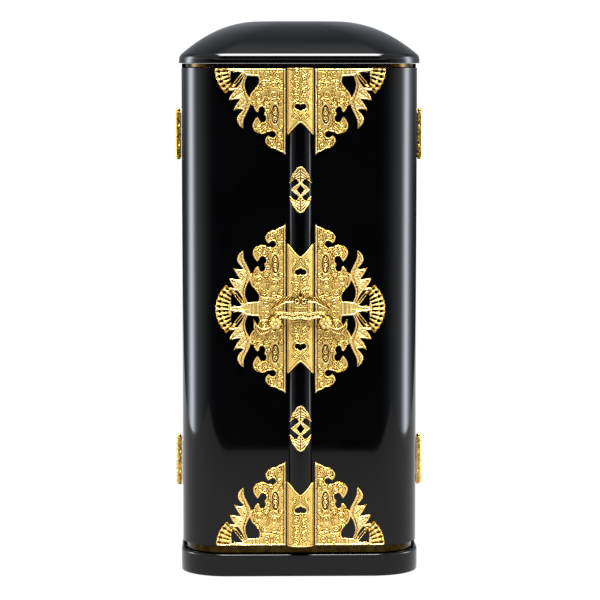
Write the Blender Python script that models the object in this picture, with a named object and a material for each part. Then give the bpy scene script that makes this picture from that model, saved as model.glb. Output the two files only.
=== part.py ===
"""A small Japanese portable shrine, closed.

A black lacquered cabinet with a domed roof, two doors that wrap its rounded front corners,
and pierced gold fittings. The front faces -Y, +X is to the right and +Z is up. The origin is
the centre of the base's underside. Sizes below are in millimetres, and MM turns them into metres.
"""
import math

import bmesh
import bpy
import numpy as np
from mathutils import Vector, geometry

MM = 0.001

# Cabinet
HEIGHT = 162.0
WIDTH = 69.0
DEPTH = 60.0
CORNER_RADIUS = 13.3
REAR_RADIUS = 4.0
WALL = 4.0
BACK_WALL = 4.0
FIT = 0.3                   # gap between pieces that touch
BASE_HEIGHT = 6.6
BASE_PROUD = 0.45           # how far the base stands out past the walls
FLOOR_THICK = 1.8
CEILING_THICK = 0.9
BOARD_INSET = 1.3           # how far the boards' edges lie behind the doors' faces
ROOF_HEIGHT = 12.2
ROOF_PROUD = 0.7
RIM_HEIGHT = 2.6
DOME_REACH = 23.6           # how far in from the edge the dome goes on rising
DOME_CURVE = 2.1            # how early the dome rises: 1 would be a straight slope
DOOR_LINE = 18.0            # from the front back to where a door meets its side wall
EDGE_ROUND = 0.3

# Batten and the sleeves on it
BATTEN_WIDTH = 7.4
BATTEN_PROUD = 1.9
CROWN_WIDTH = 5.5           # the gently curved middle of the batten's front
CROWN_RISE = 0.2
SLEEVE_GAP = 0.2
SLEEVE_THICK = 0.3
NOTCH = 3.7                 # depth of the ogee notch in a sleeve's end
TOP_CAP_LENGTH = 19.3
MIDDLE_CAP_LENGTH = 37.9
BOTTOM_CAP_LENGTH = 19.0
HEART_WIDTH = 3.06
HEART_FROM_NOTCH = 4.2      # from a notch's point to the middle of the heart beyond it
LOZENGE_HALF_HEIGHT = 6.8
LOZENGE_HALF_WIDTH = 3.4
DRAWN_LOZENGE = (3.4, 6.8)  # half width and half height at which the lozenge is drawn below

# Door plates
PLATE_THICK = 0.5
DRAWN_PLATE = (20.4, 24.8)  # reach and half height at which the plate's form is drawn below
PLATE_REACH = 20.4          # from the batten outwards
PLATE_HALF_HEIGHT = 24.8
PLATE_LINE_INSET = 0.35     # the cut plates' middle lines from the doors' ends
PLATE_MARGIN = 0.2          # their cut edges from the doors' ends

# Latch, its two posts and the leaf pulls
LATCH_THICK = 0.6
POST_X = 7.25
POST_DROP = 4.0             # posts below the latch's middle
DRAWN_POST = (7.25, 4.0)    # the posts' places at which the latch's bow is drawn below
POST_RADIUS = 0.6
POST_CLEARANCE = 0.3
EYE_WALL = 0.7              # metal left round the latch's eye and seat
HEAD_CLEARANCE = 0.7        # lets the latch's free end slide out from behind the head
HEAD_RADIUS = 1.8
HEAD_THICK = 0.5
HEAD_DOME = 0.4
PETALS = 6
PULL_THICK = 0.5

# Hinges
HINGE_HEIGHT = 13.9
UPPER_HINGE_DROP = 13.2     # from the doors' tops down to the upper barrels
LOWER_HINGE_RISE = 15.8     # from the doors' bottoms up to the lower barrels
BARREL_RADIUS = 0.9
LEAF_THICK = 0.35
LEAF_WIDTH = 4.4            # from the pin to the leaf's free edge
PIN_CLEARANCE = 0.15
KNUCKLE_SHARES = (0.18, 0.32, 0.32, 0.18)
BALL_RADIUS = 0.85

# How finely curves are cut
OUTLINE_STEP = 0.2
OUTLINE_SLACK = 0.1
LEAST_FLAT = 0.8            # of each side of an outline, between its rounded corners
CORNER_STEPS = 10
ROOF_CORNER_STEPS = 8
DOME_STEPS = 8
ROUND_SIDES = 10
CURL_STEPS = 8
SLEEVE_CUT = 28             # degrees of a bend between two cuts of a sheet

# Derived places
FRONT = -DEPTH / 2
BACK = DEPTH / 2
HALF = WIDTH / 2
FLAT_HALF = HALF - CORNER_RADIUS
SPLIT_Y = FRONT + DOOR_LINE
ROOF_Z = HEIGHT - ROOF_HEIGHT
FLOOR_Z = BASE_HEIGHT + FIT
CEILING_TOP = ROOF_Z - FIT
DOOR_BOTTOM = FLOOR_Z + FLOOR_THICK + FIT
DOOR_TOP = CEILING_TOP - CEILING_THICK - FIT
MIDDLE_Z = (DOOR_BOTTOM + DOOR_TOP) / 2
BATTEN_FRONT = FIT + BATTEN_PROUD               # depths are measured out from the doors' faces
SLEEVE_BACK = BATTEN_FRONT + SLEEVE_GAP
SLEEVE_HALF = BATTEN_WIDTH / 2 + SLEEVE_GAP + SLEEVE_THICK
PLATE_INNER = SLEEVE_HALF + FIT
PLATE_FRONT = FIT + PLATE_THICK
LATCH_BACK = SLEEVE_BACK + SLEEVE_THICK + FIT
LATCH_FRONT = LATCH_BACK + LATCH_THICK
POST_Z = MIDDLE_Z - POST_DROP
HINGE_X = HALF + FIT + BARREL_RADIUS
LEAF_MID_RADIUS = BARREL_RADIUS - LEAF_THICK / 2
PIN_RADIUS = BARREL_RADIUS - LEAF_THICK - PIN_CLEARANCE
UPPER_HINGE_Z = DOOR_TOP - UPPER_HINGE_DROP - HINGE_HEIGHT
LOWER_HINGE_Z = DOOR_BOTTOM + LOWER_HINGE_RISE

BLACK = ("black_lacquer", (0.004, 0.004, 0.005, 1.0), 0.08, 0.0)
GOLD = ("gold", (0.83, 0.60, 0.24, 1.0), 0.28, 1.0)


def clear_scene():
    for thing in list(bpy.data.objects):
        bpy.data.objects.remove(thing)


def material(name, look):
    kind, colour, roughness, metallic = look
    made = bpy.data.materials.new(name + "_" + kind)
    made.use_nodes = True
    shader = made.node_tree.nodes["Principled BSDF"]
    shader.inputs["Base Color"].default_value = colour
    shader.inputs["Roughness"].default_value = roughness
    shader.inputs["Metallic"].default_value = metallic
    return made


def finish(name, shape, look, sharp=35.0):
    """Turns a bmesh in millimetres into a named object in metres."""
    if shape.calc_volume(signed=True) < 0:
        bmesh.ops.reverse_faces(shape, faces=shape.faces)
    bmesh.ops.scale(shape, vec=(MM, MM, MM), verts=shape.verts)
    mesh = bpy.data.meshes.new(name)
    shape.to_mesh(mesh)
    shape.free()
    mesh.shade_smooth()
    mesh.set_sharp_from_angle(angle=math.radians(sharp))
    mesh.materials.append(material(name, look))
    made = bpy.data.objects.new(name, mesh)
    bpy.context.scene.collection.objects.link(made)
    return made


def set_origin(made, x, y, z):
    """Moves an object's origin, in millimetres, and leaves its shape in place."""
    place = Vector((x, y, z)) * MM
    for vertex in made.data.vertices:
        vertex.co -= place
    made.location = place


# Outlines

def arc(centre_x, centre_y, radius, start, end, steps):
    angles = np.radians(np.linspace(start, end, steps + 1))
    return [(centre_x + radius * math.cos(a), centre_y + radius * math.sin(a)) for a in angles]


def plan_outline(grow, rounding=1.0, steps=CORNER_STEPS):
    """The cabinet's outline from above, grown outwards, anticlockwise from the front's left end."""
    half, front, back = HALF + grow, FRONT - grow, BACK + grow
    room = min(half, (back - front) / 2) - LEAST_FLAT / 2
    near = min(CORNER_RADIUS + max(grow, 0.0), room)
    far = min(max(REAR_RADIUS * rounding, REAR_RADIUS + grow), room)
    return (arc(-half + near, front + near, near, 180, 270, steps)
            + arc(half - near, front + near, near, 270, 360, steps)
            + arc(half - far, back - far, far, 0, 90, steps // 2)
            + arc(-half + far, back - far, far, 90, 180, steps // 2))


def along(path, s):
    """Place and outward normal at length s along a section that starts at the front's middle.

    The path is a list of (length, radius). It sets off along +X with its outer side towards -Y.
    A positive radius turns away from the outer side, a negative one towards it, and none is straight.
    """
    x, y, turn = 0.0, 0.0, 0.0
    for index, (length, radius) in enumerate(path):
        step = s if index == len(path) - 1 else min(s, length)
        if radius is None:
            x += step * math.cos(turn)
            y += step * math.sin(turn)
        else:
            angle = step / radius
            x += radius * (math.sin(turn + angle) - math.sin(turn))
            y += radius * (math.cos(turn) - math.cos(turn + angle))
            turn += angle
        s -= step
    return x, y, math.sin(turn), -math.cos(turn)


def path_cuts(path, arc_step):
    """Lengths along a path where a flat sheet is cut so that it can follow the arcs."""
    cuts, start = [], 0.0
    for length, radius in path:
        count = 1 if radius is None else max(1, round(length / abs(radius) / math.radians(arc_step)))
        cuts += [start + length * (k + 1) / count for k in range(count)]
        start += length
    return cuts[:-1]


# Fields: negative inside a shape, in millimetres

def disc(u, v, centre_u, centre_v, radius):
    return np.hypot(u - centre_u, v - centre_v) - radius


def stroke(u, v, points, radii):
    """A rounded line through the points that swells and narrows with the radii."""
    nearest = np.full(np.shape(u), 1e9)
    for start, end, r_start, r_end in zip(points, points[1:], radii, radii[1:]):
        du, dv = end[0] - start[0], end[1] - start[1]
        t = np.clip(((u - start[0]) * du + (v - start[1]) * dv) / (du * du + dv * dv), 0, 1)
        gap = np.hypot(u - start[0] - t * du, v - start[1] - t * dv)
        nearest = np.minimum(nearest, gap - (r_start + t * (r_end - r_start)))
    return nearest


def polygon(u, v, points):
    nearest = np.full(np.shape(u), 1e9)
    inside = np.zeros(np.shape(u), bool)
    for start, end in zip(points, points[1:] + points[:1]):
        du, dv = end[0] - start[0], end[1] - start[1]
        t = np.clip(((u - start[0]) * du + (v - start[1]) * dv) / (du * du + dv * dv), 0, 1)
        nearest = np.minimum(nearest, np.hypot(u - start[0] - t * du, v - start[1] - t * dv))
        if dv:
            crosses = (start[1] > v) != (end[1] > v)
            inside ^= crosses & (u < du * (v - start[1]) / dv + start[0])
    return np.where(inside, -nearest, nearest)


def union(*fields):
    return np.minimum.reduce(fields)


def without(field, cut):
    return np.maximum(field, -cut)


def heart(u, v, width, up):
    """A broad heart with its point up or down."""
    k = width / 3.06
    u, v = np.abs(u) / k, (-v if up else v) / k
    lobes = disc(u, v, 0.72, 0.27, 0.78)
    point = polygon(u, v, [(-0.2, 0.55), (0.0, 0.55), (1.43, 0.0), (0.0, -1.0), (-0.2, -1.0)])
    return union(lobes, point) * k


def plate_crest(u, v):
    """The plate's body beside the batten, with two leaf hooks that curl over round holes."""
    tip = DRAWN_PLATE[1]
    body = polygon(u, v, [(-1, -1), (8.2, -1), (7.8, 3.2), (8.6, 5.0), (7.4, 8.0), (5.9, 10.6),
                          (5.9, 13.6), (6.4, 15.6), (5.4, 18.1), (3.3, 18.6), (3.2, 19.6),
                          (4.2, 21.6), (3.3, 23.3), (0.0, tip), (-1, tip)])
    lobe = union(disc(u, v, 7.5, 8.2, 3.05),
                 stroke(u, v, [(8.6, 10.4), (8.05, 12.3)], [0.9, 0.15]),
                 stroke(u, v, [(9.3, 9.6), (10.4, 10.2)], [0.6, 0.4]))
    lower_hook = union(disc(u, v, 7.6, 16.6, 2.05), disc(u, v, 6.6, 16.9, 1.8),
                       stroke(u, v, [(8.5, 15.6), (8.35, 14.6), (8.05, 13.9)], [1.0, 0.75, 0.45]))
    upper_hook = union(disc(u, v, 4.6, 20.9, 1.35), disc(u, v, 2.9, 22.3, 1.35),
                       stroke(u, v, [(4.9, 20.5), (5.2, 19.6)], [1.1, 0.55]))
    hollows = union(disc(u, v, 3.9, 19.05, 0.85), disc(u, v, 6.75, 14.45, 0.95),
                    disc(u, v, 6.85, 11.7, 1.0),
                    stroke(u, v, [(4.2, 18.8), (5.6, 18.75), (7.6, 19.3)], [0.6, 0.42, 0.5]),
                    stroke(u, v, [(6.9, 13.2), (7.6, 13.1), (9.0, 12.9)], [0.45, 0.55, 0.4]))
    spur = stroke(u, v, [(5.7, 13.1), (6.35, 13.15)], [0.5, 0.12])
    return union(without(union(body, lobe, lower_hook, upper_hook), hollows), spur)


def plate_spray(u, v):
    """The three pointed leaves that rise beside the crest, and their stem."""
    tall = stroke(u, v, [(11.6, 10.2), (12.9, 13.0), (13.4, 14.9), (13.15, 16.2), (12.63, 17.3)],
                  [1.05, 1.1, 1.05, 0.6, 0.05])
    middle = stroke(u, v, [(12.2, 8.9), (13.6, 10.6), (15.5, 11.75)], [1.25, 0.85, 0.05])
    low = stroke(u, v, [(12.5, 6.7), (14.6, 7.5), (16.8, 8.6)], [1.35, 0.95, 0.05])
    stem = stroke(u, v, [(11.6, 9.8), (12.1, 8.0), (13.2, 5.9), (12.5, 3.2), (11.4, 1.4)],
                  [0.95, 1.25, 1.35, 0.55, 0.4])
    link = stroke(u, v, [(13.2, 6.2), (15.0, 6.2), (16.7, 5.7)], [0.9, 0.7, 0.35])
    return union(tall, middle, low, stem, link)


def plate_fan(u, v):
    """The scalloped fan at the plate's outer end, with the stalk and spears that carry it."""
    centre, radius, half_angle = 11.1, DRAWN_PLATE[0] - 11.1, 48.0
    angle = np.degrees(np.arctan2(v, u - centre))
    reach = np.hypot(u - centre, v)
    rim = reach - radius - 0.12 + 0.14 * np.cos(np.radians(angle * 36))
    inner = 4.95 + 1.6 * np.clip((np.abs(angle) - 14) / 32, 0, 1) - reach
    fan = np.maximum(np.maximum(rim, inner), (np.abs(angle) - half_angle) * 0.12)
    stalk = stroke(u, v, [(10.8, 0), (12.2, 0), (14.0, 0), (15.6, 0), (16.3, 0)],
                   [1.8, 1.15, 0.75, 0.65, 0.1])
    collar = stroke(u, v, [(7.5, 0.0), (10.8, 0.0)], [2.15, 1.95])
    spear = stroke(u, v, [(13.3, 1.1), (15.6, 4.7)], [0.38, 0.34])
    return union(fan, stalk, collar, spear)


def plate_field(u, v):
    """The whole plate: u from the batten outwards, v from the middle line up or down."""
    k = DRAWN_PLATE[0] / PLATE_REACH
    v = np.abs(v) * DRAWN_PLATE[1] / PLATE_HALF_HEIGHT
    u = u * k
    shape = union(plate_crest(u, v), plate_spray(u, v), plate_fan(u, v))
    return np.maximum(shape, -u) / k


def latch_bow(u, v):
    """The latch's finial, ribbon arms and binding, drawn for the posts' drawn places."""
    side = np.abs(u) * DRAWN_POST[0] / POST_X
    v = v * DRAWN_POST[1] / POST_DROP
    finial = union(stroke(side, v, [(0, 2.4), (0, 4.6), (0, 6.2)], [0.9, 0.95, 0.1]),
                   stroke(side, v, [(0.5, 3.0), (2.0, 4.6), (2.3, 5.2)], [0.7, 0.75, 0.2]),
                   stroke(side, v, [(0.6, 2.8), (2.4, 3.9), (3.5, 4.3)], [0.7, 0.6, 0.15]))
    upper = stroke(side, v, [(0.95, 1.95), (2.2, 2.9), (4.5, 2.8), (6.2, 1.4), (8.4, 0.4)],
                   [0.65, 0.85, 0.95, 0.8, 0.4])
    binder = polygon(side, v, [(-1, -1.6), (2.4, -1.6), (2.4, 2.2), (-1, 2.2)])
    lower = stroke(side, v, [(0.0, -1.6), (2.3, -2.0), (4.6, -1.5), (6.2, -1.6), (6.9, -2.6)],
                   [1.05, 1.0, 0.95, 0.9, 0.75])
    return union(finial, upper, binder, lower)


def latch_field(u, v):
    """The bow-shaped latch with an eye round one post and an open seat on the other."""
    bore = POST_RADIUS + POST_CLEARANCE
    eye = disc(u, v, POST_X, -POST_DROP, bore + EYE_WALL)
    seat = disc(u, v, -POST_X, -POST_DROP, bore + EYE_WALL)
    seat = np.maximum(seat, np.maximum(FIT - POST_X - u, -POST_DROP - v))
    bores = union(disc(u, v, POST_X, -POST_DROP, bore), disc(u, v, -POST_X, -POST_DROP, bore))
    return without(union(latch_bow(u, v), eye, seat), bores)


def pull_field(u, v):
    """A crescent leaf with its horns up, u and v from the post that it stands beside."""
    return stroke(u, v, [(6.25, 0.9), (5.65, -1.3), (3.95, -2.6), (2.35, -2.2), (1.45, -1.2)],
                  [0.12, 0.7, 0.95, 0.75, 0.25])


def lozenge_field(u, v):
    """A pierced lozenge between two leaves."""
    ku = DRAWN_LOZENGE[0] / LOZENGE_HALF_WIDTH
    kv = DRAWN_LOZENGE[1] / LOZENGE_HALF_HEIGHT
    u, v = np.abs(u) * ku, np.abs(v) * kv
    leaf = polygon(u, v, [(-1, 6.8), (0, 6.8), (0.9, 6.35), (1.55, 5.35), (2.3, 4.5), (2.75, 3.3),
                          (3.4, 1.9), (2.9, 1.85), (2.2, 2.6), (1.5, 3.15), (0.9, 2.75),
                          (0.4, 1.9), (-1, 1.9)])
    ring = (u / 2.9 + v / 2.35 - 1) * 1.84
    hole = (u / 1.05 + v / 1.4 - 1) * 0.84
    return without(union(leaf, ring), hole) / ku


def ogee(t):
    """The rise of a sleeve's end from the notch's point, t = 0, to its side, t = 1."""
    t = np.clip(t, 0, 1)
    return 0.6 * t + 0.4 * t * t * (3 - 2 * t)


def sleeve_field(s, z, low, high, notch_low, notch_high, reach):
    """A sleeve laid flat: s along its section, z up."""
    bite = NOTCH * (1 - ogee(np.abs(s) / (BATTEN_WIDTH / 2)))
    top = high - (bite if notch_high else 0)
    bottom = low + (bite if notch_low else 0)
    shape = np.maximum(np.maximum(z - top, bottom - z), np.abs(s) - reach)
    if notch_low:
        shape = without(shape, heart(s, z - low - NOTCH - HEART_FROM_NOTCH, HEART_WIDTH, False))
    if notch_high:
        shape = without(shape, heart(s, z - high + NOTCH + HEART_FROM_NOTCH, HEART_WIDTH, True))
    return shape


# From a field to outlines

CELL_EDGES = {1: [(0, 3)], 2: [(1, 0)], 3: [(1, 3)], 4: [(2, 1)], 5: [(0, 3), (2, 1)], 6: [(2, 0)],
              7: [(2, 3)], 8: [(3, 2)], 9: [(0, 2)], 10: [(1, 0), (3, 2)], 11: [(1, 2)],
              12: [(3, 1)], 13: [(0, 1)], 14: [(3, 0)]}


def crossing(values, us, vs, key):
    """Where the outline crosses one grid edge. The key is (column, row, upright)."""
    i, j, upright = key
    i2, j2 = (i, j + 1) if upright else (i + 1, j)
    a, b = values[i, j], values[i2, j2]
    t = a / (a - b)
    return us[i] + t * (us[i2] - us[i]), vs[j] + t * (vs[j2] - vs[j])


def trace(field, u_range, v_range, step=OUTLINE_STEP):
    """Closed outlines of a field, outer ones anticlockwise and holes clockwise."""
    us = np.arange(u_range[0] - 1.37 * step, u_range[1] + 2 * step, step)
    vs = np.arange(v_range[0] - 1.43 * step, v_range[1] + 2 * step, step)
    values = field(*np.meshgrid(us, vs, indexing="ij"))
    values = np.where(np.abs(values) < 1e-6, 1e-6, values)
    inside = values < 0
    code = inside[:-1, :-1] + 2 * inside[1:, :-1] + 4 * inside[1:, 1:] + 8 * inside[:-1, 1:]
    following = {}
    for i, j in zip(*np.nonzero((code > 0) & (code < 15))):
        edges = [(i, j, False), (i + 1, j, True), (i, j + 1, False), (i, j, True)]
        for start, end in CELL_EDGES[int(code[i, j])]:
            following[edges[start]] = edges[end]
    loops = []
    while following:
        first = next(iter(following))
        loop, key = [], first
        while key in following:
            loop.append(crossing(values, us, vs, key))
            key = following.pop(key)
        loops.append(np.array(loop))
    return loops


def area(loop):
    x, y = loop[:, 0], loop[:, 1]
    return 0.5 * float(np.sum(x * np.roll(y, -1) - np.roll(x, -1) * y))


def thin(points, slack):
    """Drops the points that lie within the slack of a straight run."""
    if len(points) < 3:
        return points
    start, end = points[0], points[-1]
    run = end - start
    length = np.hypot(*run)
    offset = points - start
    if length < 1e-9:
        gaps = np.hypot(offset[:, 0], offset[:, 1])
    else:
        gaps = np.abs(run[0] * offset[:, 1] - run[1] * offset[:, 0]) / length
    worst = int(np.argmax(gaps))
    if gaps[worst] <= slack:
        return points[[0, -1]]
    return np.vstack([thin(points[:worst + 1], slack)[:-1], thin(points[worst:], slack)])


def outlines(field, u_range, v_range, slack=OUTLINE_SLACK, smallest=0.35):
    """The field's outlines with few points. Specks under the smallest area are left out."""
    kept = []
    for loop in trace(field, u_range, v_range):
        if abs(area(loop)) < smallest:
            continue
        start = int(np.argmax(loop[:, 1] * 3 + loop[:, 0]))
        loop = np.roll(loop, -start, axis=0)
        middle = int(np.argmax(np.hypot(*(loop - loop[0]).T)))
        first = thin(loop[:middle + 1], slack)
        second = thin(np.vstack([loop[middle:], loop[:1]]), slack)
        kept.append(np.vstack([first[:-1], second[:-1]]))
    return kept


def inside_loops(x, y, loops):
    hit = False
    for loop in loops:
        for (x1, y1), (x2, y2) in zip(loop, np.roll(loop, -1, axis=0)):
            if (y1 > y) != (y2 > y) and x < (x2 - x1) * (y - y1) / (y2 - y1) + x1:
                hit = not hit
    return hit


def slab(loops, low, high):
    """A flat solid with the given outlines in X and Y, from z = low to z = high."""
    points = np.vstack(loops)
    edges, start = [], 0
    for loop in loops:
        count = len(loop)
        edges += [(start + k, start + (k + 1) % count) for k in range(count)]
        start += count
    drawn = [Vector((float(x), float(y))) for x, y in points]
    flat, _, faces = geometry.delaunay_2d_cdt(drawn, edges, [], 0, 1e-5)[:3]
    kept = []
    for face in faces:
        middle = sum((flat[k] for k in face), Vector((0, 0))) / 3
        if inside_loops(middle.x, middle.y, loops):
            kept.append(face)
    runs = {(face[k], face[(k + 1) % 3]) for face in kept for k in range(3)}
    used = sorted({k for face in kept for k in face})
    shape = bmesh.new()
    bottom = {k: shape.verts.new((flat[k].x, flat[k].y, low)) for k in used}
    top = {k: shape.verts.new((flat[k].x, flat[k].y, high)) for k in used}
    for face in kept:
        shape.faces.new([top[k] for k in face])
        shape.faces.new([bottom[k] for k in reversed(face)])
    for a, b in sorted(runs):
        if (b, a) not in runs:
            shape.faces.new((bottom[a], bottom[b], top[b], top[a]))
    return shape


def level(outline, z):
    return [(x, y, z) for x, y in outline]


def extruded(name, outline, low, high, look, rounding=EDGE_ROUND):
    """A solid of one outline seen from above, with its sharp edges eased."""
    shape = stack([level(outline, low), level(outline, high)])
    made = finish(name, shape, look)
    if rounding:
        bevel = made.modifiers.new("edges", "BEVEL")
        bevel.width = rounding * MM
        bevel.segments = 1
        bevel.limit_method = "ANGLE"
        bevel.angle_limit = math.radians(40)
    return made


def bend(shape, path, back, cuts):
    """Wraps a slab whose X runs along the path and whose Z is its depth out from the surface.

    The slab's Y becomes height. The back of the slab lies at the given distance from the path.
    """
    for cut in cuts:
        for side in (1, -1):
            pieces = shape.verts[:] + shape.edges[:] + shape.faces[:]
            bmesh.ops.bisect_plane(shape, geom=pieces, dist=1e-5, plane_co=(side * cut, 0, 0),
                                   plane_no=(1, 0, 0))
    for vertex in shape.verts:
        s, height, depth = vertex.co
        x, y, nx, ny = along(path, abs(s))
        out = back + depth
        vertex.co = (math.copysign(x + nx * out, s), y + ny * out, height)


def stack(rings):
    """A solid through rings of equal count, each a list of points, closed by flat ends."""
    shape = bmesh.new()
    rows = [[shape.verts.new(point) for point in ring] for ring in rings]
    count = len(rows[0])
    for low, high in zip(rows, rows[1:]):
        for k in range(count):
            n = (k + 1) % count
            shape.faces.new((low[k], low[n], high[n], high[k]))
    shape.faces.new(list(reversed(rows[0])))
    shape.faces.new(rows[-1])
    return shape


# The cabinet

def make_base():
    ease = 0.6
    rings = [level(plan_outline(BASE_PROUD - 0.4), 0.0),
             level(plan_outline(BASE_PROUD), 0.4),
             level(plan_outline(BASE_PROUD), BASE_HEIGHT - ease),
             level(plan_outline(BASE_PROUD - 0.18), BASE_HEIGHT - 0.18),
             level(plan_outline(BASE_PROUD - ease), BASE_HEIGHT)]
    return finish("base", stack(rings), BLACK, sharp=50)


def make_roof():
    """A rounded rim, then a dome whose hips stay round as it rises."""
    crown = ROOF_HEIGHT - RIM_HEIGHT
    rim = [(-0.5, 0.0), (-0.1, 0.3), (0.0, 0.9), (-0.08, RIM_HEIGHT - 1.0),
           (-0.45, RIM_HEIGHT - 0.25), (-1.0, RIM_HEIGHT)]
    rings = [level(plan_outline(ROOF_PROUD + inset, steps=ROOF_CORNER_STEPS), ROOF_Z + rise)
             for inset, rise in rim]
    top_of_rim = ROOF_PROUD - 1.0
    for k in range(1, DOME_STEPS + 1):
        t = k / DOME_STEPS
        inset = top_of_rim - t * (DOME_REACH - 1.0)
        rise = RIM_HEIGHT + crown * (1 - (1 - t) ** DOME_CURVE)
        outline = plan_outline(inset, rounding=1 + 3 * t, steps=ROOF_CORNER_STEPS)
        rings.append(level(outline, ROOF_Z + rise))
    return finish("roof", stack(rings), BLACK, sharp=50)


def make_board(name, low, thick):
    """A board between the carcass walls that widens to the corners in front of them."""
    narrow = HALF - WALL - FIT
    half, front = HALF - BOARD_INSET, FRONT + BOARD_INSET
    radius = CORNER_RADIUS - BOARD_INSET
    rear = BACK - BACK_WALL - FIT
    step = SPLIT_Y - FIT
    outline = (arc(-half + radius, front + radius, radius, 180, 270, CORNER_STEPS)
               + arc(half - radius, front + radius, radius, 270, 360, CORNER_STEPS)
               + [(half, step), (narrow, step), (narrow, rear), (-narrow, rear),
                  (-narrow, step), (-half, step)])
    return extruded(name, outline, low, low + thick, GOLD, rounding=0)


def make_carcass():
    top = CEILING_TOP
    inner = BACK - BACK_WALL
    outline = ([(-HALF, inner)] + [(HALF, inner)]
               + arc(HALF - REAR_RADIUS, BACK - REAR_RADIUS, REAR_RADIUS, 0, 90, 6)
               + arc(-HALF + REAR_RADIUS, BACK - REAR_RADIUS, REAR_RADIUS, 90, 180, 6))
    extruded("back_panel", outline, FLOOR_Z, top, BLACK, rounding=0)
    for name, side in (("left", -1), ("right", 1)):
        outer, inside = side * HALF, side * (HALF - WALL)
        near, far = SPLIT_Y + FIT / 2, inner - FIT
        corners = [(inside, near), (outer, near), (outer, far), (inside, far)]
        if side < 0:
            corners.reverse()
        extruded(name + "_side_wall", corners, FLOOR_Z, top, BLACK)


def make_door(name, side):
    meet, end = FIT / 2, SPLIT_Y - FIT / 2
    corner_y = FRONT + CORNER_RADIUS
    right = ([(meet, FRONT)]
             + arc(FLAT_HALF, corner_y, CORNER_RADIUS, -90, 0, CORNER_STEPS)
             + [(HALF, end), (HALF - WALL, end)]
             + arc(FLAT_HALF, corner_y, CORNER_RADIUS - WALL, 0, -90, CORNER_STEPS * 2 // 3)
             + [(meet, FRONT + WALL)])
    outline = right if side > 0 else [(-x, y) for x, y in reversed(right)]
    made = extruded(name, outline, DOOR_BOTTOM, DOOR_TOP, BLACK, rounding=0.25)
    set_origin(made, side * HINGE_X, SPLIT_Y, 0)
    return made


# The batten and what sits on it

def batten_path():
    """The batten's section: a slight crown, a round corner and a straight side."""
    half = CROWN_WIDTH / 2
    crown = half * half / (2 * CROWN_RISE)
    lean = math.asin(half / crown)
    corner = (BATTEN_WIDTH / 2 - half) / (1 - math.sin(lean))
    fallen = CROWN_RISE + corner * math.cos(lean)
    return [(crown * lean, crown), (corner * (math.pi / 2 - lean), corner),
            (BATTEN_PROUD - fallen, None)]


def make_batten():
    path = batten_path()
    total = sum(length for length, _ in path)
    stops = [0.0] + path_cuts(path, 16) + [total]
    right = [along(path, s)[:2] for s in stops]
    outline = [(-x, y) for x, y in reversed(right[1:])] + right
    front = FRONT - BATTEN_FRONT
    extruded("batten", [(x, front + y) for x, y in outline], DOOR_BOTTOM, DOOR_TOP, BLACK,
             rounding=0)


def make_on_batten(name, field, u_range, v_range, back, thick, centre_z=0.0):
    """A gold sheet that follows the batten's section."""
    path = batten_path()
    shape = slab(outlines(field, u_range, v_range), 0, thick)
    bend(shape, path, back, path_cuts(path, SLEEVE_CUT))
    bmesh.ops.translate(shape, verts=shape.verts, vec=(0, FRONT - BATTEN_FRONT, centre_z))
    return finish(name, shape, GOLD)


def make_caps():
    reach = sum(length for length, _ in batten_path())
    middle = MIDDLE_CAP_LENGTH / 2
    caps = {"top_cap": (DOOR_TOP - TOP_CAP_LENGTH, DOOR_TOP, True, False),
            "middle_cap": (MIDDLE_Z - middle, MIDDLE_Z + middle, True, True),
            "bottom_cap": (DOOR_BOTTOM, DOOR_BOTTOM + BOTTOM_CAP_LENGTH, False, True)}
    for name, (low, high, notch_low, notch_high) in caps.items():
        def field(s, z, low=low, high=high, ends=(notch_low, notch_high)):
            return sleeve_field(s, z, low, high, *ends, reach)
        make_on_batten(name, field, (-reach, reach), (low, high), SLEEVE_GAP, SLEEVE_THICK)


def make_lozenges():
    """One midway between each two sleeves."""
    middle = MIDDLE_CAP_LENGTH / 2
    upper = (DOOR_TOP - TOP_CAP_LENGTH + MIDDLE_Z + middle) / 2
    lower = (DOOR_BOTTOM + BOTTOM_CAP_LENGTH + MIDDLE_Z - middle) / 2
    for name, height in (("upper_lozenge", upper), ("lower_lozenge", lower)):
        make_on_batten(name, lozenge_field, (-LOZENGE_HALF_WIDTH, LOZENGE_HALF_WIDTH),
                       (-LOZENGE_HALF_HEIGHT, LOZENGE_HALF_HEIGHT), SLEEVE_GAP, SLEEVE_THICK, height)


# The door plates

def door_path():
    return [(FLAT_HALF, None), (CORNER_RADIUS * math.pi / 2, CORNER_RADIUS), (WALL, None)]


def make_plates():
    """Three plates a door: a whole one in the middle and a cut half at each end."""
    top_line, bottom_line = DOOR_TOP - PLATE_LINE_INSET, DOOR_BOTTOM + PLATE_LINE_INSET
    rows = {"top": (top_line, top_line - PLATE_HALF_HEIGHT, DOOR_TOP - PLATE_MARGIN),
            "middle": (MIDDLE_Z, MIDDLE_Z - PLATE_HALF_HEIGHT, MIDDLE_Z + PLATE_HALF_HEIGHT),
            "bottom": (bottom_line, DOOR_BOTTOM + PLATE_MARGIN, bottom_line + PLATE_HALF_HEIGHT)}
    for row, (line, low, high) in rows.items():
        def field(u, z, line=line, low=low, high=high):
            return np.maximum(plate_field(u, z - line), np.maximum(low - z, z - high))
        loops = outlines(field, (0, PLATE_REACH), (low, high))
        for loop in loops:
            loop[:, 0] += PLATE_INNER
        cuts = [FLAT_HALF + k * (PLATE_INNER + PLATE_REACH - FLAT_HALF) / 3 for k in range(3)]
        for side_name, side in (("left", -1), ("right", 1)):
            shape = slab(loops, 0, PLATE_THICK)
            bend(shape, door_path(), FIT, cuts)
            for vertex in shape.verts:
                vertex.co = (side * vertex.co.x, vertex.co.y + FRONT, vertex.co.z)
            finish(side_name + "_" + row + "_plate", shape, GOLD)


# The latch, its posts and the pulls

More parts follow.
